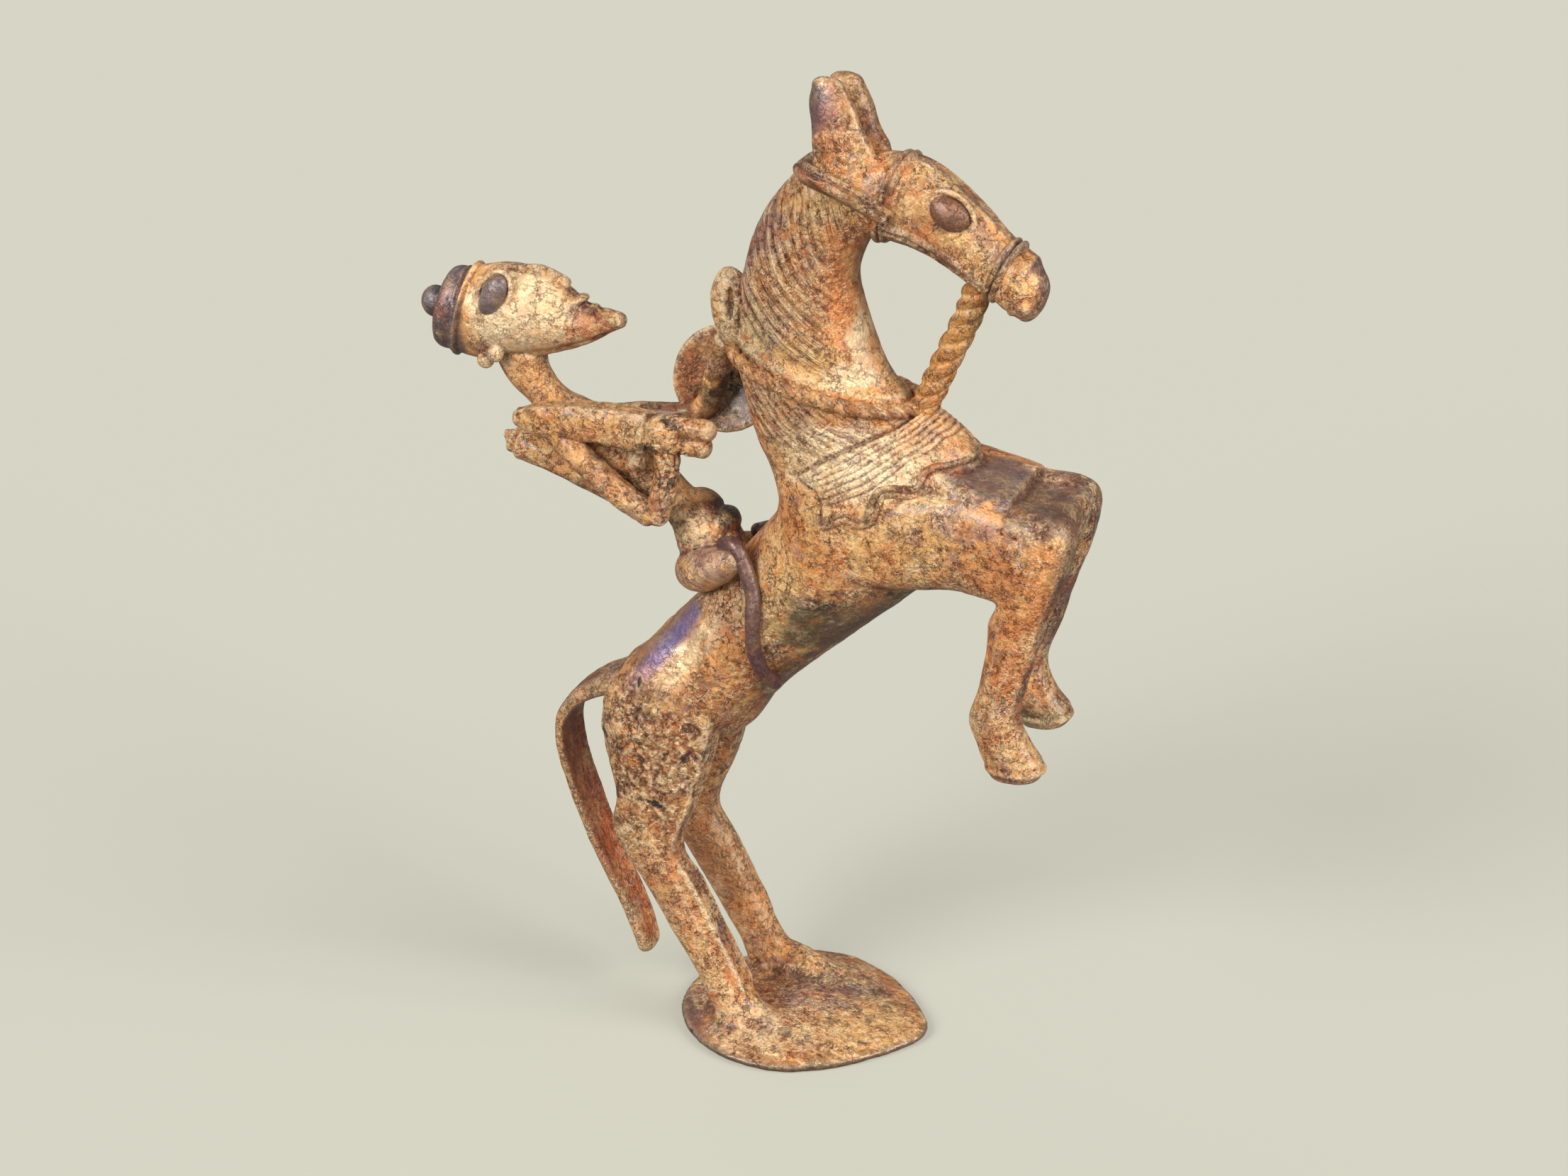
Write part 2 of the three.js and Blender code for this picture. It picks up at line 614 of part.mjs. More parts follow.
function riderFace() {
  const nose = limb(
    [at(-62, 0, 167.6), at(-57.5, 0, 167.4), at(-53.4, 0, 165.6)],
    [1.1 * part, 1.5 * part, 1.5 * part],
    { sides: 6, steps: 3 },
  );
  const lips = [[-51.2, 162.4], [-48, 161]].map(([x, z]) => ellipsoid(at(x, 0, z), [1.4, 3.4, 1.5], 0, 6));
  const eyesAndEars = SIDES.flatMap((side) => [
    ellipsoid(at(-66.4, side * 6.6, 162.2), [5.4, 2.8, 3.5], 58),
    ellipsoid(at(-66.8, side * 6, 150.4), [2.2, 1.8, 2.2], 0, 6),
    ellipsoid(at(-69.4, side * 4.9, 148.4), [2, 2, 1.9], 0, 6),
  ]);
  return [nose, ...lips, ...eyesAndEars];
}

// Rider: near arm, the broad bar on the shoulder with two broken ends in the fist, and the quiver

function nearArm() {
  const radius = RIDER_ARM_DIAMETER / 2;
  const upper = limb(
    [at(-52, -8, 136), at(-46.4, -10, 131.8), at(-38, -10.4, 125.4), at(-30.4, -10, 120.6)],
    [radius, radius * 1.1, radius * 1.1, radius],
    { steps: 5 },
  );
  const fore = limb([at(-28.8, -10, 120.6), at(-26.6, -10, 128), at(-26.2, -9.4, 136)], [radius, radius], { steps: 3 });
  const fist = ellipsoid(at(-27, -9, 138.6), [5, 3.8, 4.8]);
  const palm = ellipsoid(at(-34.6, -6, 130.9), [2.4, 2.6, 2.6], 0, 6);
  const gripRadius = GRIP_DIAMETER / 2;
  const ends = [[[-26, 141.2], [-16.4, 141.4]], [[-24, 137.8], [-18.4, 137.4]]].map((line) => limb(
    line.map(([x, z]) => at(x, -9, z)),
    [gripRadius, gripRadius * 0.9],
    { sides: 6, steps: 2 },
  ));
  const bar = bodyOf([
    [-61.4, 139, -61, 135, -7, 2.4],
    [-56.3, 141, -56, 133.8, -7.6, 3, 2.4],
    [-47.5, 142.8, -47.6, 134.8, -8.4, 3.4, 2.6],
    [-38.9, 143.6, -39, 134.6, -8.8, 3.4, 2.6],
    [-31, 143.4, -31, 134, -9, 3.4, 2.4],
  ]);
  return [upper, fore, fist, palm, ...ends, skin(domedStart(bar.rings(8, 1.25), part, 1))];
}

function quiver() {
  const radius = QUIVER_DIAMETER / 2;
  return limb(
    [at(-66, -3, 131), at(-62.5, -3.4, 129.8), at(-55, -4, 128), at(-46, -4.2, 124.6), at(-36.4, -4.2, 120.4)],
    [radius * 0.4, radius * 1.1, radius * 1.1, radius, radius * 0.8],
    { steps: 5 },
  );
}

function farArmAndShield() {
  const radius = RIDER_ARM_DIAMETER / 2;
  const arm = limb(
    [at(-50, 5, 133.6), at(-41, 8.4, 134.8), at(-31, 9.6, 135.8), at(-25.2, 9.6, 139), at(-22.6, 9.2, 146.5),
      at(-20, 7, 155)],
    [radius, radius, radius, radius, radius, radius * 0.9],
    { steps: 9 },
  );
  const shieldRadius = SHIELD_DIAMETER / 2;
  const profile = [[0, -1], [0.6, -0.7], [1, 0.2], [0.95, 0.7], [0.5, 0.05], [0, -0.2]];
  const dish = new THREE.LatheGeometry(
    profile.map(([share, height]) => new THREE.Vector2(share * shieldRadius, height * SHIELD_THICKNESS)),
    16,
  );
  const facing = new THREE.Vector3(0.12, -0.94, 0.32).normalize();
  dish.applyQuaternion(new THREE.Quaternion().setFromUnitVectors(new THREE.Vector3(0, 1, 0), facing));
  dish.translate(...at(-22, 13.4, 144).toArray());
  return [arm, dish];
}

// The casting

const solids = [
  footPlate(),
  ...mounds(),
  trunkAndNeck(),
  ...breast(),
  ...forelegs(),
  ...hindLegs(),
  tail(),
  skull(),
  ...horseEyes(),
  ...ears(),
  ...halter(),
  leadRope(),
  ...mane(),
  ...collar(),
  breastCloth(),
  hem(),
  neckKnob(),
  ...riderBody(),
  ...sash(),
  ...riderLegs(),
  ...riderHeadAndCap(),
  ...riderFace(),
  ...nearArm(),
  quiver(),
  ...farArmAndShield(),
];
const hollows = [knobHollow(), ...nostrils()];

function manifoldOf(geometry) {
  geometry.deleteAttribute('normal');
  geometry.deleteAttribute('uv');
  const merged = mergeVertices(geometry);
  return new wasm.Manifold(new wasm.Mesh({
    numProp: 3,
    vertProperties: new Float32Array(merged.getAttribute('position').array),
    triVerts: new Uint32Array(merged.index.array),
  }));
}

const joined = (geometries) => geometries.map(manifoldOf).reduce((whole, piece) => whole.add(piece));

function geometryOf(solid) {
  const { vertProperties, triVerts } = solid.getMesh();
  const geometry = new THREE.BufferGeometry();
  geometry.setAttribute('position', new THREE.BufferAttribute(new Float32Array(vertProperties), 3));
  geometry.setIndex(new THREE.BufferAttribute(new Uint32Array(triVerts), 1));
  geometry.computeVertexNormals();
  return geometry;
}

const casting = joined(solids).subtract(joined(hollows));
const patinatedBrass = new THREE.MeshStandardMaterial({ color: 0xa8733c, roughness: 0.55, metalness: 0.7 });
const horseAndRider = new THREE.Mesh(geometryOf(casting), patinatedBrass);
horseAndRider.name = 'rearing_horse_and_rider';

const statuette = new THREE.Group();
statuette.add(horseAndRider);

export default statuette;
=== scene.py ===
"""The looks of a rearing horse and its rider, one brass casting on a leaf-shaped foot plate."""
import math

import bpy
import numpy as np
from mathutils import Matrix, Vector, bvhtree, kdtree


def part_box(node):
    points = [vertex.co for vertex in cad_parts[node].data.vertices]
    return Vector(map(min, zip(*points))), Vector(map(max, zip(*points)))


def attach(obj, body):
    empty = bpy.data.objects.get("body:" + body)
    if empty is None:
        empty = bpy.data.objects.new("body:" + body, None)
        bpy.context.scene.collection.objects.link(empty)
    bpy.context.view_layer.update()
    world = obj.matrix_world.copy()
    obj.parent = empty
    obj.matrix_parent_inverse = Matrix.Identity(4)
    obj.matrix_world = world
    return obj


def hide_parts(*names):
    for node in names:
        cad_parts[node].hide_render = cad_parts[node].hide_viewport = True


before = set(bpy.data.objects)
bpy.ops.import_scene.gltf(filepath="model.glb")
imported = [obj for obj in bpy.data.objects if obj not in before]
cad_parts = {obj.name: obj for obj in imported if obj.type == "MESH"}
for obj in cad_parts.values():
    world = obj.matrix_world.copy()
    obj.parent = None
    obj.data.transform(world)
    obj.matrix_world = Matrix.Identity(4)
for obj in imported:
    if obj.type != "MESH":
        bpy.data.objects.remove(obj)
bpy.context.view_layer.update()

# The casting's node. Its free forms are written in parts, of which its height has 218. +X is ahead of the
# horse, and -Y is its near side.
CASTING = "rearing_horse_and_rider"
HEIGHT_PARTS = 218
lowest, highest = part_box(CASTING)
PART = (highest.z - lowest.z) / HEIGHT_PARTS  # metres

# The grain of each skin, in parts
HORSE_GRAIN = 0.44
HEAD_GRAIN = 0.28
RIDER_GRAIN = 0.3

# Camera
CAMERA_TURN = math.radians(21)  # from the near side toward the horse's head
CAMERA_RISE = math.radians(25)
CAMERA_DISTANCE = 0.83  # metres
CAMERA_LENS = 90  # mm
CAMERA_SENSOR = 36  # mm
CAMERA_TARGET = Vector((-0.004, 0, 0.1037))


def add_camera():
    """Looks down on the near side from a little ahead."""
    flat = math.cos(CAMERA_RISE)
    back = Vector((math.sin(CAMERA_TURN) * flat, -math.cos(CAMERA_TURN) * flat, math.sin(CAMERA_RISE)))
    data = bpy.data.cameras.new("camera")
    data.lens = CAMERA_LENS
    data.sensor_width = CAMERA_SENSOR
    data.clip_start = 0.01
    camera = bpy.data.objects.new("camera", data)
    camera.location = CAMERA_TARGET + back * CAMERA_DISTANCE
    camera.rotation_euler = back.to_track_quat("Z", "Y").to_euler()
    bpy.context.collection.objects.link(camera)
    bpy.context.scene.camera = camera


# Numbers and noise

def mix(a, b, share):
    return a + (b - a) * share


def fade(value, start, end):
    """Goes smoothly from 0 at start to 1 at end."""
    share = np.clip((value - start) / (end - start), 0, 1)
    return share * share * (3 - 2 * share)


def hump(value, middle, half_width):
    """Is 1 at the middle and falls smoothly to 0 past the half width."""
    return np.exp(-((value - middle) / (0.6 * half_width)) ** 2)


def ridges(value):
    """Round ridges one unit apart with sharp furrows at the whole numbers."""
    return np.abs(np.sin(np.pi * value))


def unit(vectors):
    return vectors / np.maximum(np.linalg.norm(vectors, axis=-1, keepdims=True), 1e-9)


def dot(a, b):
    return np.einsum("ij,ij->i", a, b)


def table(*columns):
    """Columns side by side, each spread to the shape that they share."""
    return np.stack(np.broadcast_arrays(*columns), axis=-1)


def evenly_round(count):
    """Angles in degrees."""
    return np.arange(count) * 360 / count


def scatter(cells, seed):
    """A settled number from 0 to 1 for each whole-number cell."""
    mixed = cells[..., 0] * 374761393 + cells[..., 1] * 668265263 + cells[..., 2] * 1274126177
    mixed = (mixed + seed * 974634777) & 0xFFFFFFFF
    mixed = ((mixed ^ (mixed >> 13)) * 1274126177) & 0xFFFFFFFF
    mixed = ((mixed ^ (mixed >> 15)) * 2246822519) & 0xFFFFFFFF
    return ((mixed ^ (mixed >> 16)) & 0xFFFF) / 0xFFFF


def noise(points, grain, seed):
    """Smooth noise from -1 to 1 whose lumps are about one grain apart."""
    scaled = points @ NOISE_TURN / grain
    cell = np.floor(scaled).astype(np.int64)
    share = scaled - cell
    share = share * share * (3 - 2 * share)
    total = 0
    for corner in np.ndindex(2, 2, 2):
        weight = np.prod(np.where(corner, share, 1 - share), axis=-1)
        total = total + weight * scatter(cell + np.array(corner), seed)
    return 2 * total - 1


NOISE_TURN = np.array(Matrix.Rotation(0.7, 3, Vector((1, 2, 3)).normalized()))


def pebbles(points, grain, seed):
    """Distances, in grains, to the nearest and the second nearest of points scattered one to a cell."""
    scaled = points @ NOISE_TURN / grain
    cell = np.floor(scaled).astype(np.int64)
    nearest = np.full(len(points), 9.0)
    second = np.full(len(points), 9.0)
    for step in np.ndindex(3, 3, 3):
        home = cell + np.array(step) - 1
        spot = home + table(*(scatter(home, seed + k) for k in range(3)))
        gap = np.linalg.norm(spot - scaled, axis=-1)
        second = np.minimum(second, np.maximum(nearest, gap))
        nearest = np.minimum(nearest, gap)
    return nearest, second


# Curves, bodies and shells, in parts

def curve(points, places):
    """Points of a smooth curve through the given ones, at places counted from 0 at the first."""
    points = np.asarray(points, float)
    run = np.vstack([2 * points[0] - points[1], points, 2 * points[-1] - points[-2]])
    places = np.clip(np.asarray(places, float), 0, len(points) - 1)
    first = np.minimum(places.astype(int), len(points) - 2)
    share = (places - first)[..., None]
    a, b, c, d = (run[first + k] for k in range(4))
    bend = 2 * a - 5 * b + 4 * c - d + share * (3 * (b - c) + d - a)
    return b + 0.5 * share * ((c - a) + share * bend)


def signed_power(value, power):
    return np.sign(value) * np.abs(value) ** power


class Body:
    """A body given by stations (back x, back z, front x, front z, middle y, half width, squareness)."""

    def __init__(self, stations):
        rows = np.array([tuple(row) + (2,) * (7 - len(row)) for row in stations], float)
        self.backs = rows[:, [0, 4, 1]]
        self.fronts = rows[:, [2, 4, 3]]
        self.shapes = rows[:, [5, 6]]
        self.last = len(rows) - 1

    def at(self, station, angle, rise=0):
        """The point at a station and an angle in degrees: 0 is the back, 90 the near side."""
        station, angle, rise = np.broadcast_arrays(station, np.radians(angle), rise)
        back = curve(self.backs, station)
        front = curve(self.fronts, station)
        shape = curve(self.shapes, station)
        half = (back - front) / 2
        depth = np.linalg.norm(half, axis=-1)
        power = 2 / shape[..., 1]
        along = signed_power(np.cos(angle), power) * (depth + rise) / depth
        across = signed_power(np.sin(angle), power) * (shape[..., 0] + rise)
        point = (back + front) / 2 + half * along[..., None]
        point[..., 1] -= across
        return point

    def out(self, station, angle):
        return unit(self.at(station, angle, 1) - self.at(station, angle))

    def places(self, points):
        """The stations and angles nearest to points, and how far off its surface they are."""
        stations = np.linspace(0, self.last, 12 * self.last)
        angles = np.arange(0, 360, 5)
        grid = self.at(stations[:, None], angles[None, :]).reshape(-1, 3)
        tree = kdtree.KDTree(len(grid))
        for index, point in enumerate(grid):
            tree.insert(point, index)
        tree.balance()
        nearest = np.array([tree.find(point)[1] for point in points])
        station = stations[nearest // len(angles)]
        angle = angles[nearest % len(angles)].astype(float)
        for _ in range(3):
            here = self.at(station, angle)
            along = (self.at(station + 0.01, angle) - self.at(station - 0.01, angle)) / 0.02
            across = self.at(station, angle + 0.5) - self.at(station, angle - 0.5)
            gap = points - here
            station = station + np.clip(dot(gap, along) / (dot(along, along) + 1e-6), -0.1, 0.1)
            angle = angle + np.clip(dot(gap, across) / (dot(across, across) + 1e-6), -4, 4)
            station = np.clip(station, 0.01, self.last - 0.01)
        return station, angle % 360, np.linalg.norm(points - self.at(station, angle), axis=-1)

    def rings(self, step, sides, relief=None):
        """Rings every so many stations, raised by relief(station, angle)."""
        stations = np.linspace(0, self.last, max(2, round(self.last / step)))[:, None]
        angles = evenly_round(sides)[None, :]
        rise = 0 if relief is None else relief(*np.broadcast_arrays(stations, angles))
        return self.at(stations, angles, rise)


def domed(rings, depth, steps=8):
    """Rounds off the last ring with a dome."""
    end = rings[-1]
    middle = end.mean(0)
    ahead = unit(middle - rings[-2].mean(0))
    turns = np.radians(np.linspace(90 / steps, 88, steps))
    dome = [middle + (end - middle) * np.cos(turn) + ahead * depth * np.sin(turn) for turn in turns]
    return np.concatenate([rings, dome])


def shell(rings, start=0.0, end=0.0):
    """A closed shell over a run of rings, with domes of the given depths."""
    if start:
        rings = domed(rings[::-1], start)[::-1]
    if end:
        rings = domed(rings, end)
    count, sides = rings.shape[:2]
    first = (np.arange(count - 1)[:, None] * sides + np.arange(sides)).ravel()
    beside = (np.arange(count - 1)[:, None] * sides + (np.arange(sides) + 1) % sides).ravel()
    quads = table(first, beside, beside + sides, first + sides)
    caps = [list(range(sides))[::-1], list(range((count - 1) * sides, count * sides))]
    return rings.reshape(-1, 3), quads.tolist() + caps


def path_frames(points, steps, facing):
    """Middles, and the two directions across them, along a smooth curve."""
    places = np.linspace(0, len(points) - 1, steps)
    middles = curve(points, places)
    ahead = unit(np.gradient(middles, axis=0))
    facing = np.asarray(facing, float)
    out = unit(facing - ahead * (ahead @ facing)[:, None])
    return middles, np.cross(ahead, out), out


NEARWARD = (0, -1, 0)


def sweep(points, section, steps=60, sides=32, facing=NEARWARD):
    """Rings along a curve. section(share, angle) gives distances across and out."""
    middles, across, out = path_frames(points, steps, facing)
    share = np.linspace(0, 1, steps)[:, None]
    angle = np.radians(evenly_round(sides))[None, :]
    a, b = section(share, angle)
    return middles[:, None] + across[:, None] * a[..., None] + out[:, None] * b[..., None]


def limb(points, radii, steps=60, sides=32, facing=NEARWARD, relief=None):
    """A round limb whose radius follows the list from end to end."""
    def section(share, angle):
        radius = curve(np.array(radii, float)[:, None], share * (len(radii) - 1))[..., 0]
        if relief is not None:
            radius = radius + relief(share, angle)
        return radius * np.cos(angle), radius * np.sin(angle)
    return shell(sweep(points, section, steps, sides, facing), 0.8 * radii[0], 0.8 * radii[-1])


def rope(points, diameter, turns, strands=3, steps=160, sides=36, facing=NEARWARD, depth=1.0):
    """A laid rope of touching round strands, pressed smooth where depth is below 1."""
    wedge = np.pi / strands
    reach = diameter / 2 / (1 + np.sin(wedge))
    radius = reach * np.sin(wedge)

    def section(share, angle):
        lay = (angle - 2 * np.pi * turns * share + wedge) % (2 * wedge) - wedge
        out = reach * np.cos(lay) + np.sqrt(np.maximum(radius ** 2 - (reach * np.sin(lay)) ** 2, 0))
        out = mix(diameter / 2, out, depth)
        return out * np.cos(angle), out * np.sin(angle)
    return shell(sweep(points, section, steps, sides, facing), 0.3, 0.3)


def ellipsoid(middle, halves, pitch=0.0, sides=36):
    turn = np.radians(np.linspace(1, 179, sides))[:, None]
    angle = np.radians(evenly_round(sides))[None, :]
    rings = table(np.sin(turn) * np.cos(angle), np.sin(turn) * np.sin(angle), np.cos(turn)) * halves
    return shell(rings @ pitched(pitch) + middle)


def pitched(pitch):
    """Turns rows of points nose up by so many degrees."""
    return np.array(Matrix.Rotation(math.radians(-pitch), 3, "Y")).T


def ring_round(middle, half_long, half_short, pitch, radius, side):
    """A rim round an almond lying in a plane along the horse or rider."""
    angle = np.radians(np.linspace(0, 360, 33))
    flat = table(half_long * np.cos(angle), 0.0, half_short * signed_power(np.sin(angle), 1.1))
    flat[:, 1] = -side * 0.10 * (flat[:, 0] ** 2 + flat[:, 2] ** 2) / half_long
    return limb(flat @ pitched(pitch) + middle, [radius] * 3, steps=100, sides=14, facing=(0, -side, 0))


def strap(points, out, width, rise, cords=2, root=0.8, columns=13):
    """A raised strap of rounded cords along points, leaning out of a surface."""
    side = unit(np.cross(np.gradient(points, axis=0), out))
    share = np.linspace(0, 1, columns)
    crown = np.sqrt(ridges(share * cords)) * rise
    offsets = np.concatenate([(share - 0.5) * width, [0.5 * width, -0.5 * width]])
    heights = np.concatenate([crown, [-root, -root]])
    return shell(points[:, None] + side[:, None] * offsets[:, None] + out[:, None] * heights[:, None])


def band(body, places, width, rise, cords=2, root=0.8, steps=90):
    """A strap along (station, angle) places on a body."""
    station, angle = curve(places, np.linspace(0, len(places) - 1, steps)).T
    return strap(body.at(station, angle), body.out(station, angle), width, rise, cords, root)


NEAR = -1
FAR = 1
SIDES = (NEAR, FAR)


# Horse: trunk and neck

TRUNK = Body([
    (-38.6, 83.4, -34, 70, 0, 9),
    (-34.6, 86.6, -22, 66, 0, 12.5),
    (-28.8, 93.6, -12, 70, 0, 13.6),
    (-22.4, 100.8, -5, 80, 0, 13.6),
    (-15, 109.5, 4, 89, 0, 13.6),
    (-8.5, 117.5, 14.5, 98.5, 0, 14.4),
    (-4.8, 122.5, 24, 107, 0, 15.2, 2.1),
    (-4, 126.5, 34, 117, 0, 15.4, 2.2),
    (-5, 130, 40, 130, 0, 14.8, 2.2),
    (-7, 134, 38, 141, 0, 13.2),
    (-9, 138, 31, 147.5, 0, 11.6),
    (-11, 143.5, 24.5, 150.2, 0, 10.4),
    (-12.8, 150, 19.2, 156.5, 0, 9.6),
    (-14, 158, 16.2, 163, 0, 9),
    (-13.7, 167, 13.7, 170, 0, 8.6),
    (-12.3, 176, 12.3, 177, 0, 8.2),
    (-9.1, 186, 14, 183, 0, 7.8),
    (-3.8, 194.2, 17, 188, 0, 7.2),
    (0.6, 198.4, 20, 193, 0, 6.4),
])

COLLAR_AT_CREST = 13
COLLAR_AT_CHEST = 10.9
POLL = 17.7
LOCK_PITCH = 0.4  # stations
LOCK_RISE = 0.36
LOCK_SLANT = 1.9  # stations dropped from the crest to the middle of the side
THROAT_SPAN = 2.4  # stations from the collar down to the cloth
THROAT_SLANT = 40  # degrees that the lines of the throat lean over that span
CLOTH_REACH = 68  # degrees from the back
CLOTH_RISE = 0.42
CLOTH_RIDGES = 6

# Lines round the trunk, as (degrees from the back, station)
CLOTH_TOP = [(52, 8.8), (78, 9.45), (100, 9.85), (126, 10.2), (158, 10.55), (180, 10.65)]
CLOTH_RIDGED_DOWN_TO = [(74, 8.1), (90, 8.5), (110, 8.95), (126, 9.3), (158, 9.6), (180, 9.6)]
HEM = [(72, 7.45), (80, 7.8), (86, 7.95), (92, 7.8), (96, 7.95), (99, 8.35), (103, 8.6), (110, 8.65),
       (118, 8.58), (124, 8.6), (128, 8.75), (132, 8.95), (138, 9), (150, 8.95), (165, 8.95), (180, 8.95)]


def from_back(angle):
    """Degrees from the back, whichever side."""
    return np.minimum(angle % 360, -angle % 360)


def collar_station(angle):
    return mix(COLLAR_AT_CHEST, COLLAR_AT_CREST, (1 + np.cos(np.radians(angle))) / 2)


def line_station(line, angle):
    """The station of a line at an angle, the same on both sides."""
    angles, stations = zip(*line)
    return np.interp(from_back(angle), angles, stations)


def wander(station, angle, seed):
    """A hand-made unevenness along and round a body."""
    return noise(table(station * 1.7, from_back(angle) / 14, angle / 90), 1.0, seed)


def lock_start(station, turn):
    """The station on the crest of the lock that runs through a place."""
    return station + LOCK_SLANT * (1 - np.cos(np.radians(turn)))


def mane_relief(station, angle):
    """Locks that slant down from the crest and stop short of the collar and the throat."""
    turn = from_back(angle)
    start = lock_start(station, turn)
    share = (start - COLLAR_AT_CREST - 0.8) / (POLL - COLLAR_AT_CREST - 0.8)
    reach = np.minimum(150, 30 + 290 * share)
    inside = fade(share, -0.02, 0.08) * fade(reach - turn, 0, 16) * fade(station, 18.3, 18)
    inside = inside * fade(station - collar_station(angle), 0.5, 1.1)
    lay = start + 0.025 * wander(station, angle, 3)
    furrow = (1 - ridges(lay / LOCK_PITCH) ** 0.7) * fade(wander(station, angle, 7), -0.5, 0.5)
    return -inside * LOCK_RISE * furrow


def combed(station, angle):
    """Places across and along the combed strokes of mane and lower neck, and how far the strokes show."""
    turn = from_back(angle)
    collar = collar_station(angle)
    above = station > collar
    share = (collar - station) / THROAT_SPAN
    mane = fade(station, collar + 0.7, collar + 1.2) * fade(station, 18.4, 18) * fade(turn, 128, 108)
    throat = fade(share, 0.1, 0.2) * fade(share, 1.05, 0.9) * fade(turn, 140, 110)
    across = np.where(above, lock_start(station, turn) * 9, (turn - THROAT_SLANT * share) / 7)
    along = np.where(above, turn / 7, station * 9) + 50 * (angle > 180)
    return table(across, along, np.where(above, mane, 0.8 * throat))


def throat_relief(station, angle):
    """Fine combed lines between the collar and the cloth, and a smooth roll above the collar."""
    turn = from_back(angle)
    collar = collar_station(angle)
    share = (collar - station) / THROAT_SPAN
    inside = fade(share, 0.1, 0.2) * fade(share, 1.05, 0.8) * fade(turn, 20, 40) * fade(turn, 135, 105)
    lines = (turn - THROAT_SLANT * share + 3 * wander(station, angle, 5)) / 11
    roll = 0.5 * hump(station, collar + 0.42, 0.3)
    return roll - inside * 0.3 * (1 - ridges(lines)) ** 2


def cloth_relief(station, angle):
    """A thin cloth over the breast, ridged along its upper part, with a crease above it."""
    turn = from_back(angle)
    top = line_station(CLOTH_TOP, angle)
    bottom = line_station(CLOTH_RIDGED_DOWN_TO, angle)
    hem = line_station(HEM, angle)
    slant_end = CLOTH_REACH + 5 * fade(station, 8.8, 8) - 14 * fade(station, 8.5, 9)
    here = fade(turn, slant_end - 1.5, slant_end + 1.5)
    panel = fade(station, hem - 0.05, hem + 0.05) * fade(station, top + 0.03, top - 0.03)
    height = (station - bottom) / (top - bottom) + 0.035 * wander(station, angle, 9)
    grooves = fade(height, -0.1, 0.02) * fade(height, 1.1, 1.0) * (1 - ridges(height * CLOTH_RIDGES)) ** 1.5
    crease = 0.5 * hump(station, top + 0.1, 0.1) * fade(turn, 46, 54) * fade(turn, 172, 158)
    return here * (0.6 * panel - CLOTH_RISE * grooves) - crease


def trunk_relief(station, angle):
    return mane_relief(station, angle) + throat_relief(station, angle) + cloth_relief(station, angle)


def trunk_and_neck():
    return shell(TRUNK.rings(0.06, 200), 3, 2)


def neck_knob():
    return ellipsoid((-15, 0, 165), (4.8, 4.2, 9.6), 8)


# Horse: head, rolled a little with its near side up

HEAD_ROLL = 11  # degrees
HEAD_ROLL_HEIGHT = 191
HORSE_EYE_PITCH = -24

HEAD = Body([
    (3.5, 199, 8.5, 187.5, 0, 6.4, 2.2),
    (11, 201.5, 14.5, 186, 0, 7.2, 2.4),
    (19, 203, 20, 185, 0, 7.2, 2.5),
    (25.5, 202, 25, 184.2, 0, 6.8, 2.6),
    (31.5, 199, 29.5, 182.6, 0, 6.5, 2.6),
    (37, 195, 34, 180.6, 0, 6, 2.6),
    (42, 190.8, 38.6, 178, 0, 5.4, 2.5),
    (46, 188, 42, 176, 0, 5.2, 2.3),
    (49.8, 185.8, 45, 174, 0, 5.5, 2.2),
    (52, 182.4, 47.8, 172.8, 0, 5, 2.2),
])


def rolled(piece):
    points, faces = piece
    turn = np.array(Matrix.Rotation(math.radians(-HEAD_ROLL), 3, "X"))
    pivot = np.array((0, 0, HEAD_ROLL_HEIGHT))
    return (points - pivot) @ turn.T + pivot, faces


def head_relief(station, angle):
    """Brow ridge along the profile, flat cheeks, a mouth line and a rim round the muzzle."""
    turn = from_back(angle)
    brow = 0.5 * hump(turn, 20, 14) * fade(station, 2, 3) * fade(station, 7, 5.5)
    mouth = -0.3 * hump(station, 8.55 - 0.012 * (turn - 120), 0.16) * fade(turn, 78, 92)
    lip = 0.35 * hump(station, 8.85 - 0.012 * (turn - 120), 0.3) * fade(turn, 70, 95)
    nose = 0.3 * hump(station, 8.2, 0.3) * fade(turn, 80, 60)
    cheek = 0.35 * hump(station, 2.9, 0.9) * hump(turn, 118, 34)
    return brow + mouth + lip + nose + cheek


def skull():
    return rolled(shell(HEAD.rings(0.04, 180, head_relief), 2, 3.2))


def horse_eye_middle(side):
    return np.array((32.8, side * 5.1, 192.6 if side == NEAR else 189.8))


def horse_eyes():
    return [rolled(ellipsoid(horse_eye_middle(side), (4.8, 2.5, 3.4), HORSE_EYE_PITCH)) for side in SIDES]


def horse_eye_rim(side):
    middle = horse_eye_middle(side) + (0, side * 0.5, 0)
    return rolled(ring_round(middle, 5.7, 4.1, HORSE_EYE_PITCH, 0.75, side))


def horse_ear(side):
    ear = Body([
        (3.6, 195, 18, 197, side * 4.4, 2.9),
        (3.2, 201.5, 16.4, 202.6, side * 4.8, 3),
        (2.6, 206.8, 13.4, 207, side * 5, 2.9),
        (1.8, 211.6, 11.2, 212, side * 5.2, 2.8),
        (2.2, 214.8, 9, 215.2, side * 5.3, 2.4),
    ])

    def relief(station, angle):
        return 0.45 * hump(angle, 180 + side * 28, 20) * fade(station, 0.8, 1.4)
    return rolled(shell(ear.rings(0.03, 90, relief), 0, 2.2))


# Horse: legs

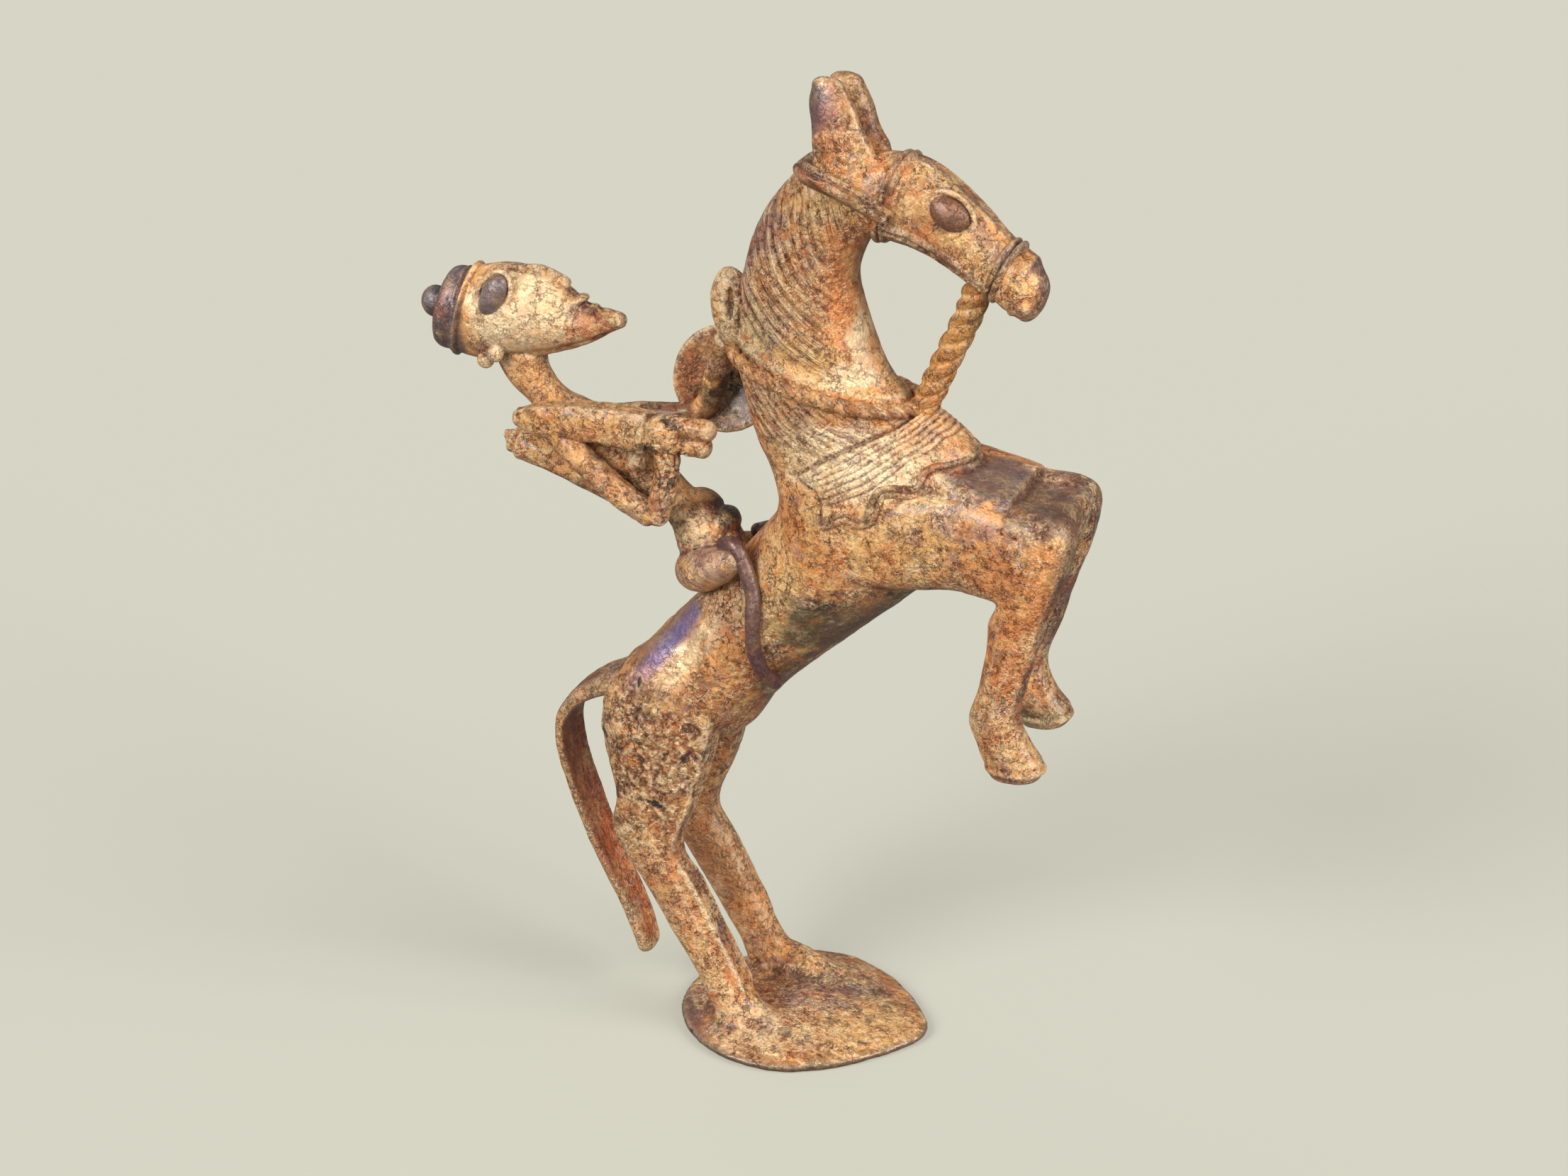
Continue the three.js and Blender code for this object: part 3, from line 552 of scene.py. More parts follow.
def forelegs():
    foot_lift = {NEAR: 0.6, FAR: 3.4}
    shin_back = {NEAR: 0, FAR: 0.8}
    legs = []
    for side in SIDES:
        lift = foot_lift[side]
        back = shin_back[side]
        leg = Body([
            (4, 117, 8, 107.5, side * 7.4, 6.6, 2.8),
            (13, 126, 16, 112.2, side * 8.6, 6.8, 3),
            (24, 133.6, 27, 113.4, side * 8.8, 6.8, 3),
            (37, 136.9, 38, 114.6, side * 8.4, 7, 2.8),
            (48.5, 135.2, 45.5, 114, side * 8.8, 7, 3),
            (58, 134.6, 46.8, 113.6, side * 9.4, 6.4, 3),
            (62.6 - back, 130.4, 46.6, 112.4, side * 9.8, 6, 2.8),
            (60.8 - back, 120, 45.2, 109.2, side * 10.2, 5.4, 2.7),
            (57.6 - back, 110.5, 45, 104.6, side * 10.4, 4.9, 2.5),
            (54.8 - back, 100.6, 44.2, 99, side * 10.5, 4.5, 2.4),
            (52.8 - back, 91.6 + lift, 43, 92.4 + lift, side * 10.5, 4.2),
            (52.4 - back, 86.6 + lift, 41.4, 86 + lift, side * 10.5, 4.4),
            (55 - back, 81.4 + lift, 43, 81 + lift, side * 10.5, 4.6),
            (58 - back, 76.8 + lift, 45, 76.4 + lift, side * 10.5, 4.8, 2.4),
            (57 - back, 74.4 + lift, 46.4, 73.8 + lift, side * 10.5, 4.4, 2.4),
        ])
        legs.append(shell(leg.rings(0.045, 130, foreleg_relief), 3, 0.8))
    return legs


def foreleg_relief(station, angle):
    """A raised edge down the front of the shin, and a rim above the hoof's sole."""
    turn = from_back(angle)
    shin = fade(station, 6.2, 7.2) * fade(station, 10.8, 9.8)
    edge = 0.3 * shin * hump(turn, 42, 14) - 0.3 * shin * hump(turn, 66, 18)
    seam = 0.3 * shin * hump(turn, 118, 12)
    rim = 0.35 * hump(station, 13.25, 0.22) - 0.3 * hump(station, 12.9, 0.18)
    scar = 0.4 * hump(station, 9.55, 0.07) * hump(turn, 95, 30)
    return edge + seam + rim + scar


def breast():
    """Joins the upper forelegs, with a raised step over its first part."""
    block = Body([
        (26, 141, 29, 118, 0, 10, 4),
        (38, 136.8, 40, 119, 0, 10, 4),
        (49, 134.8, 49, 121, 0, 10, 4),
        (60, 134.4, 59, 124, 0, 9.6, 4),
    ])
    step = Body([
        (26, 143.3, 30, 130, 0, 9, 4),
        (37, 139, 38, 128, 0, 12.4, 5),
        (49, 136.6, 48.6, 127, 0, 12.6, 5),
    ])
    return [shell(block.rings(0.03, 140), 0, 2), shell(step.rings(0.03, 140))]


HOCK = 4  # the hind legs' station where the shin starts


def hind_legs():
    foot_back = {NEAR: 0, FAR: 2}
    legs = []
    for side in SIDES:
        stations = [
            (-34, 88, -18, 92, side * 6.5, 6),
            (-40.8, 79, -15.5, 81, side * 8.4, 6.6, 2.2),
            (-42, 70.5, -15, 72, side * 9.4, 6.6, 2.3),
            (-40.4, 62, -17.2, 62.6, side * 10, 6.2, 2.4),
            (-38.4, 54, -20, 54.4, side * 10.4, 5.7, 2.5),
            (-39.4, 46.6, -23, 47, side * 10.8, 5.1, 2.5),
            (-36.2, 40.5, -23.2, 41.6, side * 11, 4.5, 2.6),
            (-30.4, 32, -19.6, 35.4, side * 11.3, 4.2, 2.8),
            (-24.4, 22.4, -14.6, 26, side * 11.6, 4.2, 2.8),
            (-19, 13.5, -9.8, 16.8, side * 11.8, 4.3, 2.6),
            (-15.6, 6, -5.4, 8, side * 12, 4.7, 2.4),
            (-14, 0.8, -3, 0.8, side * 12, 5, 2.4),
        ]
        leg = Body(stations)
        below_hock = np.maximum(0, (np.arange(len(stations)) - HOCK) / (len(stations) - 1 - HOCK))
        leg.backs[:, 0] -= foot_back[side] * below_hock
        leg.fronts[:, 0] -= foot_back[side] * below_hock
        relief = hind_leg_relief if side == NEAR else None
        legs.append(shell(leg.rings(0.04, 130, relief), 3, 0))
    return legs


def hind_leg_relief(station, angle):
    """A sharp front edge to the thigh, and a raised cord down the front edge of the shin."""
    shin = fade(station, 6, 7) * fade(station, 10.6, 9.6)
    thigh = fade(station, 1.2, 2) * fade(station, 6, 5)
    turn = from_back(angle)
    edge = 0.6 * hump(turn, 146, 11) - 0.4 * hump(turn, 168, 14)
    return shin * (0.6 * hump(turn, 150, 13) - 0.3 * hump(turn, 128, 14)) + thigh * edge


TAIL_WIDTH = 12.5
TAIL_THICKNESS = 3.4


def tail():
    """A strap hollowed along the side that faces the legs, with three cords over its root."""
    line = [(-34, 79.6), (-40, 77), (-45.8, 74.4), (-50.6, 71), (-53.8, 66.2), (-54.4, 60.4), (-52.8, 53),
            (-49.8, 44), (-46.4, 35), (-41.6, 25), (-38.2, 17.4), (-36.4, 11.5)]
    path = [(x, 0, z) for x, z in line]

    def section(share, angle):
        half = TAIL_WIDTH / 2 * mix(1, 0.7, np.maximum(0, share - 0.5) * 2)
        place = signed_power(np.sin(angle), 0.8)
        thick = TAIL_THICKNESS / 2 * signed_power(np.cos(angle), 0.7) * (1 + 0.55 * fade(share, 0.3, 0.1))
        inside = fade(-np.cos(angle), 0, 0.5)
        hollow = 1.1 * inside * (1 - place ** 2) * fade(share, 0.2, 0.4) * fade(share, 1, 0.85)
        cords = 0.5 * fade(np.cos(angle), 0, 0.5) * ridges(place * 1.5 + 1.5) * fade(share, 0.55, 0.35)
        return thick + hollow + cords, half * place
    return shell(sweep(path, section, 240, 96), 0, 2.4)


# Foot plate, with a mound where each hind foot stands

PLATE_FRONT = 29.4
PLATE_REAR = 26.6
PLATE_NEAR = 26.2
PLATE_FAR = 25
PLATE_EDGE = 2
PLATE_CROWN = 3.5
PLATE_TIP_TAPER = 0.42


def foot_plate():
    angle = np.radians(evenly_round(300))
    ahead = np.maximum(0, np.cos(angle))
    long = np.where(np.cos(angle) > 0, PLATE_FRONT, PLATE_REAR) * np.cos(angle)
    wide = np.where(np.sin(angle) > 0, PLATE_FAR, PLATE_NEAR) * np.sin(angle)
    outline = table(long, wide * (1 - PLATE_TIP_TAPER * ahead ** 2), 0.0)

    def ring(share, height):
        return outline * share + (0, 0, height)
    rim = [ring(0.965, 0), ring(0.982, 0.5), ring(1, 1.2), ring(0.996, 1.7), ring(0.985, 2)]
    top = [ring(share, PLATE_EDGE + PLATE_CROWN * (1 - share ** 2))
           for share in np.linspace(0.96, 0.02, 60)]
    under = [ring(share, 0) for share in np.linspace(0.02, 0.96, 40)]
    return shell(np.array(under + rim + top))


def mounds():
    """Each foot flares into the plate, further ahead than behind."""
    flares = {
        NEAR: dict(x=-8, y=-12.2, half_x=13, half_y=9, ahead=4, height=11),
        FAR: dict(x=-9, y=12, half_x=17, half_y=10, ahead=9, height=13),
    }
    shells = []
    for side in SIDES:
        flare = flares[side]
        share = np.linspace(1, 0.2, 60)[:, None]
        angle = np.radians(evenly_round(120))[None, :]
        out_x = flare["x"] + share * (flare["ahead"] + flare["half_x"] * np.cos(angle))
        out_y = flare["y"] + share * flare["half_y"] * np.sin(angle)
        height = 1 + flare["height"] * (1 - share) ** 1.5
        shells.append(shell(table(out_x, out_y, height)))
    return shells


def horse_shells():
    return [trunk_and_neck(), neck_knob(), *breast(), *forelegs(), *hind_legs(), tail(), foot_plate(),
            *mounds()]


def head_shells():
    return [skull(), *(horse_eye_rim(side) for side in SIDES), *(horse_ear(side) for side in SIDES)]


# Tack: halter, lead rope, collar and the cloth's hem

HALTER_WIDTH = 3
HALTER_RISE = 0.9
LEAD_ROPE_DIAMETER = 6.2
COLLAR_DIAMETER = 3.6
HEM_WIDTH = 3
CROWN_STRAP = [(0.4, 0, 198.8), (1.4, -4.6, 199.4), (4.4, -7.2, 199.2), (10.1, -8.1, 197.6),
               (15.5, -8.5, 195.4), (21, -8.4, 192.6)]


def halter():
    """Two bands round the head that lean forward over its top, and straps by the cheek and the ears."""
    angles = np.linspace(0, 360, 25)

    def round_head(crown, jaw):
        stations = mix(jaw, crown, (1 + np.cos(np.radians(angles))) / 2)
        return band(HEAD, table(stations, angles), HALTER_WIDTH, HALTER_RISE, steps=180)
    straps = [rolled(round_head(2.5, 1.6)), rolled(round_head(7.1, 6.8))]
    for side in SIDES:
        cheek = [(1.8, -side * 126), (4.3, -side * 130), (6.8, -side * 132)]
        straps.append(rolled(band(HEAD, cheek, HALTER_WIDTH, HALTER_RISE)))
        crown = [(x, y * -side, z) for x, y, z in CROWN_STRAP]
        points = curve(crown, np.linspace(0, len(crown) - 1, 90))
        out = unit(points - (9, 0, 190)) * (0.6, 1, 1)
        straps.append(strap(points, unit(out), HALTER_WIDTH + 0.6, HALTER_RISE, root=2.5))
    return straps


def lead_rope():
    path = [(38.4, -0.5, 179), (35.6, 0, 170.6), (31.2, 0, 160.4), (27.4, 0, 151.5), (25, 0, 146)]
    return rope(path, LEAD_ROPE_DIAMETER, turns=-3.2, depth=0.35)


def collar():
    sink = 0.3 * COLLAR_DIAMETER
    shells = []
    for side in SIDES:
        turn = np.linspace(-4, 184, 13)
        path = TRUNK.at(collar_station(turn), -side * turn, COLLAR_DIAMETER / 2 - sink)
        shells.append(rope(path, COLLAR_DIAMETER, turns=5 * side, facing=(0, side, 0), depth=0.8))
    return shells


def hem(surface):
    """Two cords side by side, waving along the cloth's lower edge."""
    turn = np.linspace(CLOTH_REACH + 5, 355 - CLOTH_REACH, 500)
    points = TRUNK.at(line_station(HEM, turn), turn)
    out = TRUNK.out(line_station(HEM, turn), turn)
    window = np.ones(9) / 9
    seated = seat(points, out, surface)
    seated[4:-4] = table(*(np.convolve(column, window, "valid") for column in seated.T))
    return strap(seated, out, HEM_WIDTH, CLOTH_RISE + 0.1, root=1.2)


def seat(points, out, surface, reach=7):
    """Moves points in or out along their directions onto a surface."""
    seated = points.copy()
    for index, (point, way) in enumerate(zip(points, out)):
        hit = surface.ray_cast(Vector(point + way * reach), Vector(-way), 2 * reach)[0]
        if hit is not None:
            seated[index] = hit
    return seated


# Rider

TORSO = Body([
    (-24, 102, -10, 106, 0, 7),
    (-27.6, 110, -13.5, 114.4, 0, 6.6),
    (-29.4, 115.4, -18.6, 119.8, 0, 5.4),
    (-32.8, 118.4, -24.6, 122.6, 0, 5),
    (-38, 121.4, -29.4, 127.2, 0, 5.2),
    (-45, 125.4, -36, 133.6, 0, 6),
    (-52, 129.4, -44, 138, 0, 7),
    (-57.6, 133, -52, 139.4, 0, 6.4),
])

RIDER_NECK = Body([
    (-69.5, 148, -58, 151, 0, 4.2),
    (-66.2, 142.6, -57.2, 146.2, 0, 3.8),
    (-61.4, 138.4, -53.6, 141.6, 0, 4.2),
    (-56, 133.6, -46.6, 139, 0, 5.2),
])

RIDER_HEAD = Body([
    (-80.2, 161.6, -80.6, 150, 0, 4.6),
    (-75.5, 166, -77.2, 147.6, 0, 6.6),
    (-69.6, 168, -71, 146.8, 0, 7.4),
    (-64, 168.8, -64, 147.8, 0, 7.4),
    (-58.6, 168, -57, 149.6, 0, 6.6),
    (-54.6, 166.2, -50.6, 151.8, 0, 5.4),
    (-51.4, 163.8, -46.8, 153.6, 0, 4.4),
    (-47.6, 161.4, -43.8, 155.6, 0, 3.4),
    (-43.6, 161.2, -41.8, 156.8, 0, 2.6),
    (-41, 161, -40, 157.8, 0, 2.1),
])


def torso_and_neck():
    return [shell(TORSO.rings(0.03, 120), 0, 3), shell(RIDER_NECK.rings(0.03, 90))]


def sash():
    """Folds tied round the waist, mostly behind it."""
    turns = [((-22.6, 1, 119.6), (4.6, 5.4, 2.6), -26), ((-17.6, 0.4, 116.6), (3.4, 4.6, 3.6), -30),
             ((-15.2, -2, 114.2), (1.8, 2.4, 2.2), 10)]
    return [ellipsoid(*turn) for turn in turns]


KNEE_DROP = {NEAR: 0, FAR: -5}


def rider_thighs():
    shells = []
    for side in SIDES:
        drop = KNEE_DROP[side]
        path = [(-22.6, side * 3, 106.4), (-19.2, side * 7.4, 108.6 + drop / 2),
                (-14, side * 10.6, 112 + drop), (-10.6, side * 12, 114 + drop)]
        shells.append(limb(path, [4.8, 4.6, 3.8, 2.6], facing=(0, 0, 1)))
    return shells


SHANK_LINE = [(4.5, 64), (4.25, 78), (4, 90), (3.75, 104), (3.55, 124), (3.45, 142)]
SHANK_DIAMETER = 3.4


def rider_shanks():
    radius = SHANK_DIAMETER / 2
    line = np.array(SHANK_LINE, float)
    shanks = []
    for side in SIDES:
        drop = KNEE_DROP[side]
        on_thigh = [(-13.8, side * 9.6, 116.4 + drop), (-10, side * 11.6, 116.8 + drop)]
        on_belly = TRUNK.at(line[:, 0], -side * line[:, 1], radius * 0.5)
        shanks.append(limb([*on_thigh, *on_belly], [radius, radius, 0.9 * radius], steps=120))
    return shanks


def rider_head_relief(station, angle):
    """Flat cheeks over a cut jaw line, a cut under the lips and coarse strands in the beard."""
    turn = from_back(angle)
    mouth = -0.5 * hump(station, 6.3, 0.25) * fade(turn, 95, 60)
    beard = fade(station, 5.6, 6.6) * 0.3 * (ridges((turn + 8 * wander(station, angle, 21)) / 20) - 0.5)
    jaw = -0.5 * hump(turn, 146, 12) * fade(station, 2.5, 3.5) * fade(station, 8, 7)
    return mouth + beard + jaw


def rider_head():
    """Head with a rolled cap, a thin rim in front of the roll, and a topknot."""
    shells = [shell(RIDER_HEAD.rings(0.035, 130, rider_head_relief), 2, 1.2)]
    angles = np.linspace(0, 360, 25)
    for back, width, rise in ((0.45, 5.2, 1.6), (1.14, 1.2, 1.1)):
        stations = back + 0.25 * np.cos(np.radians(angles))
        shells.append(band(RIDER_HEAD, table(stations, angles), width, rise, cords=1, root=1.5, steps=180))
    cap = RIDER_HEAD.at(np.linspace(0, 1, 20)[:, None], evenly_round(90)[None, :], 0.8)
    shells.append(shell(cap, 1.4, 0))
    shells.append(ellipsoid((-83.2, 0, 157.8), (3, 3, 3.5)))
    return shells


RIDER_EYE_PITCH = 63


def rider_eye_middle(side):
    return np.array((-66.6, side * 6.3, 163.5 if side == NEAR else 159.5))


def rider_eyes():
    return [ellipsoid(rider_eye_middle(side), (5.2, 2.6, 2.7), RIDER_EYE_PITCH) for side in SIDES]


def rider_face():
    """A ridge of a nose, two rough lips, rims for the eyes, and knobs for ears with a bead under each."""
    nose = limb([(-66, 0, 167.6), (-59, 0, 167.8), (-52.8, 0, 165.9)], [0.9, 1.4, 1.3])
    upper_lip = ellipsoid((-50.6, 0, 162.2), (3.2, 2.8, 1.2), 24)
    lower_lip = ellipsoid((-48, 0, 160.8), (2.8, 2.8, 1), 14)
    shells = [nose, upper_lip, lower_lip]
    for side in SIDES:
        eye = rider_eye_middle(side) + (0, side * 0.5, 0)
        shells.append(ring_round(eye, 5.9, 3.5, RIDER_EYE_PITCH, 0.55, side))
        shells.append(ellipsoid((-66.8, side * 6, 150.4), (2, 1.6, 2)))
        shells.append(ellipsoid((-69.6, side * 5, 148.2), (1.9, 1.9, 1.8)))
    return shells


ARM_RADIUS = 2.7
GRIP_RADIUS = 2.5


def near_arm():
    """The arm under a broad bar on the shoulder, with two broken ends in the fist."""
    upper = limb([(-52, -8, 136), (-46.4, -10, 131.8), (-38, -10.4, 125.4), (-30.4, -10, 120.6)],
                 [ARM_RADIUS, ARM_RADIUS * 1.1, ARM_RADIUS * 1.1, ARM_RADIUS])
    fore = limb([(-28.8, -10, 120.6), (-26.6, -10, 128), (-26.2, -9.4, 136)], [ARM_RADIUS, ARM_RADIUS])
    fist = ellipsoid((-27, -9, 138.6), (5, 3.8, 4.8))
    palm = ellipsoid((-34.6, -6, 130.9), (2.4, 2.6, 2.6))
    ends = [limb([(x, -9, z) for x, z in line], [GRIP_RADIUS, GRIP_RADIUS * 0.95])
            for line in (((-26, 141), (-17.4, 141.2)), ((-24, 137.8), (-18.4, 137.2)))]
    bar = Body([
        (-61.4, 139, -61, 135, -7, 2.4),
        (-56.3, 141, -56, 133.8, -7.6, 3, 2.4),
        (-47.5, 142.8, -47.6, 134.8, -8.4, 3.4, 2.6),
        (-38.9, 143.6, -39, 134.6, -8.8, 3.4, 2.6),
        (-31, 143.4, -31, 134, -9, 3.4, 2.4),
    ])

    def bar_relief(station, angle):
        return 0.4 * hump(from_back(angle), 30, 16)
    return [upper, fore, fist, palm, *ends, shell(bar.rings(0.02, 90, bar_relief), 1.4, 0)]


QUIVER_RADIUS = 3.2


def quiver():
    path = [(-66, -3, 131), (-62.5, -3.4, 129.8), (-55, -4, 128), (-46, -4.2, 124.6), (-36.4, -4.2, 120.4)]

    def relief(share, angle):
        return 0.5 * hump(share, 0.14, 0.05) - 0.5 * hump(share, 0.22, 0.03) + 0.3 * hump(share, 0.27, 0.03)
    return limb(path, [QUIVER_RADIUS * k for k in (0.35, 1.1, 1.1, 1, 0.8)], steps=160, relief=relief)


SHIELD_RADIUS = 11.3
SHIELD_THICKNESS = 2.2


def far_arm_and_shield():
    path = [(-50, 5, 133.6), (-41, 8.4, 134.8), (-31, 9.6, 135.8), (-25.2, 9.6, 139), (-22.6, 9.2, 146.5),
            (-20, 7, 155)]
    arm = limb(path, [ARM_RADIUS] * 5 + [ARM_RADIUS * 0.9], steps=100)
    profile = curve([(0.01, -1), (0.6, -0.7), (1, 0.2), (0.95, 0.7), (0.5, 0.05), (0.01, -0.2)],
                    np.linspace(0, 5, 60))
    angle = np.radians(evenly_round(120))[None, :]
    out = profile[:, :1] * SHIELD_RADIUS
    rings = table(out * np.cos(angle), profile[:, 1:] * SHIELD_THICKNESS, out * np.sin(angle))
    facing = Vector((0.12, -0.94, 0.32)).normalized()
    turn = np.array(Vector((0, 1, 0)).rotation_difference(facing).to_matrix())
    return [arm, shell(rings @ turn.T + (-22, 13.4, 144))]


def rider_shells():
    return [*torso_and_neck(), *sash(), *rider_thighs(), *rider_head(), *rider_face(), *near_arm(),
            quiver(), *far_arm_and_shield()]


# Meshes

def joined(shells):
    points = []
    faces = []
    start = 0
    for piece_points, piece_faces in shells:
        points.append(piece_points)
        faces += [[start + corner for corner in face] for face in piece_faces]
        start += len(piece_points)
    return np.concatenate(points), faces


def new_object(name, points, faces):
    mesh = bpy.data.meshes.new(name)
    mesh.from_pydata(points.tolist(), [], faces)
    mesh.update()
    thing = bpy.data.objects.new(name, mesh)
    bpy.context.collection.objects.link(thing)
    return thing


def apply_modifiers(thing):
    """Leaves the object with the mesh that its modifiers make."""
    shown = thing.evaluated_get(bpy.context.evaluated_depsgraph_get())
    old = thing.data
    thing.data = bpy.data.meshes.new_from_object(shown)
    thing.modifiers.clear()
    bpy.data.meshes.remove(old)
    thing.data.name = thing.name


def fused(name, shells, voxel):
    """One skin over overlapping shells."""
    thing = new_object(name, *joined(shells))
    remesh = thing.modifiers.new("fuse", "REMESH")
    remesh.mode = "VOXEL"
    remesh.voxel_size = voxel
    apply_modifiers(thing)
    return thing


def read(rows, key, size=3, kind=float):
    """Numbers of a mesh's rows, size to a row."""
    flat = np.zeros(len(rows) * size, kind)
    rows.foreach_get(key, flat)
    return flat.reshape(-1, size)


def points_of(mesh):
    return read(mesh.vertices, "co")


def normals_of(mesh):
    return read(mesh.vertices, "normal")


def edges_of(mesh):
    return read(mesh.edges, "vertices", 2, int)


def set_points(mesh, points):
    mesh.vertices.foreach_set("co", points.ravel())
    mesh.update()


def smooth(mesh):
    mesh.polygons.foreach_set("use_smooth", np.ones(len(mesh.polygons), bool))


# What the material reads at each point: the kind of attribute, how many numbers, and their key
NUMBER = ("FLOAT", 1, "value")
STORED = {
    "tint": ("FLOAT_COLOR", 4, "color"),
    "strokes": ("FLOAT_VECTOR", 3, "vector"),
    "wear": NUMBER,
    "grime": NUMBER,
    "crust": NUMBER,
    "gloss": NUMBER,
}


def store(mesh, **named):
    """Keeps rows of numbers with a mesh's points."""
    for name, values in named.items():
        form, _, key = STORED[name]
        attribute = mesh.attributes.new(name, form, "POINT")
        attribute.data.foreach_set(key, values.astype(np.float32).ravel())


def spread(values, edges, rounds, share=0.5):
    """Averages values over neighbouring points."""
    count = len(values)
    ends = np.concatenate([edges[:, 0], edges[:, 1]])
    others = np.concatenate([edges[:, 1], edges[:, 0]])
    neighbours = np.maximum(np.bincount(ends, minlength=count), 1)
    columns = values.reshape(count, -1).astype(float)
    for _ in range(rounds):
        means = (np.bincount(ends, column[others], count) / neighbours for column in columns.T)
        columns = mix(columns, table(*means), share)
    return columns.reshape(values.shape)


# Colours of the patina and of the painted highlights and shade, as seen on a screen from 0 to 255

PALETTE = {
    "ochre": (224, 152, 86),
    "tan": (230, 168, 104),
    "cream": (252, 222, 174),
    "straw": (240, 190, 118),
    "stone": (196, 176, 138),
    "orange": (222, 128, 60),
    "amber": (246, 176, 92),
    "flame": (206, 104, 50),
    "sienna": (186, 112, 68),
    "clay": (184, 134, 90),
    "rust": (160, 82, 42),
    "chestnut": (128, 88, 66),
    "brown": (116, 76, 52),
    "umber": (66, 40, 30),
    "soot": (92, 48, 30),
    "black": (34, 27, 27),
    "plum": (96, 66, 66),
    "mauve": (158, 126, 122),
    "pewter": (134, 122, 120),
    "slate": (84, 80, 90),
    "violet": (90, 96, 158),
    "moss": (100, 90, 62),
}


def screen_colour(name):
    """Linear light of a palette colour."""
    value = np.array(PALETTE[name]) / 255
    return np.where(value <= 0.04045, value / 12.92, ((value + 0.055) / 1.055) ** 2.4)


def patch_share(points, middle, halves, seed, edge="ragged"):
    """1 inside a patch round a place, falling to 0 past its edge, which is ragged, crisp or soft."""
    away = np.linalg.norm((points - middle) / halves, axis=-1)
    if edge == "crisp":
        return fade(away, 1.1, 0.8)
    if edge == "soft":
        return fade(away, 1.5, 0.2)
    ragged = 0.35 * noise(points, 4, seed) + 0.18 * noise(points, 1.3, seed + 1)
    return fade(away + ragged, 1.15, 0.75)


def opaque(colours):
    return np.concatenate([colours, np.ones((len(colours), 1))], axis=1)


# Surface: hand-made unevenness, casting pits and crust

def weathered(points, rough):
    """Heights of unevenness, of pits, and of crust where it is rough, and the dark of the holes."""
    lumps = 0.14 * noise(points, 7, 1) + 0.09 * noise(points, 3, 2) + 0.05 * noise(points, 1.3, 3)
    crust = 0.22 * noise(points, 2, 4) + 0.18 * noise(points, 1, 5)
    bent = points + 1.5 * table(*(noise(points, 2.4, 30 + axis) for axis in range(3)))
    nearest, second = pebbles(bent, 3.4, 6)
    cracks = fade(second - nearest, 0.12, 0.02) * fade(noise(points, 4, 8), -0.1, 0.4)
    pit_place, _ = pebbles(points, 5.5, 9)
    pits = fade(pit_place, 0.12, 0.05)
    return lumps + rough * (crust - 0.25 * cracks) - 0.3 * pits, np.maximum(0.6 * rough * cracks, pits)


def largest(points, patches, seed, edge="ragged"):
    """The greatest strength that any of the (middle, halves, strength) patches has at each point."""
    total = np.zeros(len(points))
    for index, (middle, halves, strength) in enumerate(patches):
        share = patch_share(points, middle, halves, seed + index, edge)
        total = np.maximum(total, strength * share)
    return total


LIT_SIDE = (-0.55, -0.15, 0.8)  # surfaces turned away from this side get painted shade, mixed toward brown

# Each kind of patch has ragged edges of its own, numbered from here
SEEDS = {"tints": 40, "rough": 80, "gloss": 120, "clean_unshaded": 140, "faced": 160, "unworn_unhighlit": 200}

# How many rounds of spreading smooth a new skin and its soft places, and show its fine and its broad relief
SKIN_ROUNDS = 3
SOFT_ROUNDS = 90
FINE_ROUNDS = 16
BROAD_ROUNDS = 140


def tinted(points, normals, look):
    """Colours of a skin: the look's base and tints, the faced ones, and painted shade on the side turned
    from the light.
    """
    colours = np.tile(screen_colour(look["base"]), (len(points), 1))
    for index, (middle, halves, colour, strength, *edge) in enumerate(look["tints"]):
        share = strength * patch_share(points, middle, halves, SEEDS["tints"] + index, *edge)
        colours = mix(colours, screen_colour(colour), share[:, None])
    for index, (middle, halves, colour, strength, way) in enumerate(look["faced"]):
        share = strength * patch_share(points, middle, halves, SEEDS["faced"] + index)
        share = share * fade(normals @ unit(np.array(way)), 0.3, 0.8)
        colours = mix(colours, screen_colour(colour), share[:, None])
    # Painted shade: surfaces turned away from the lit side are mixed toward brown.
    painted_shade = fade(normals @ unit(np.array(LIT_SIDE)), 0.25, -0.7)[:, None]
    return mix(colours, screen_colour("brown"), 0.35 * painted_shade)


def carved(points, look):
    """The height of a look's carving at each point, and its combed strokes."""
    body, relief, reach = look["carving"]
    station, angle, gap = body.places(points)
    strokes = look["combing"](station, angle)
    strokes[:, 2] *= fade(gap, reach, 0.5 * reach)
    return relief(station, angle) * fade(gap, reach, 0.7 * reach), strokes


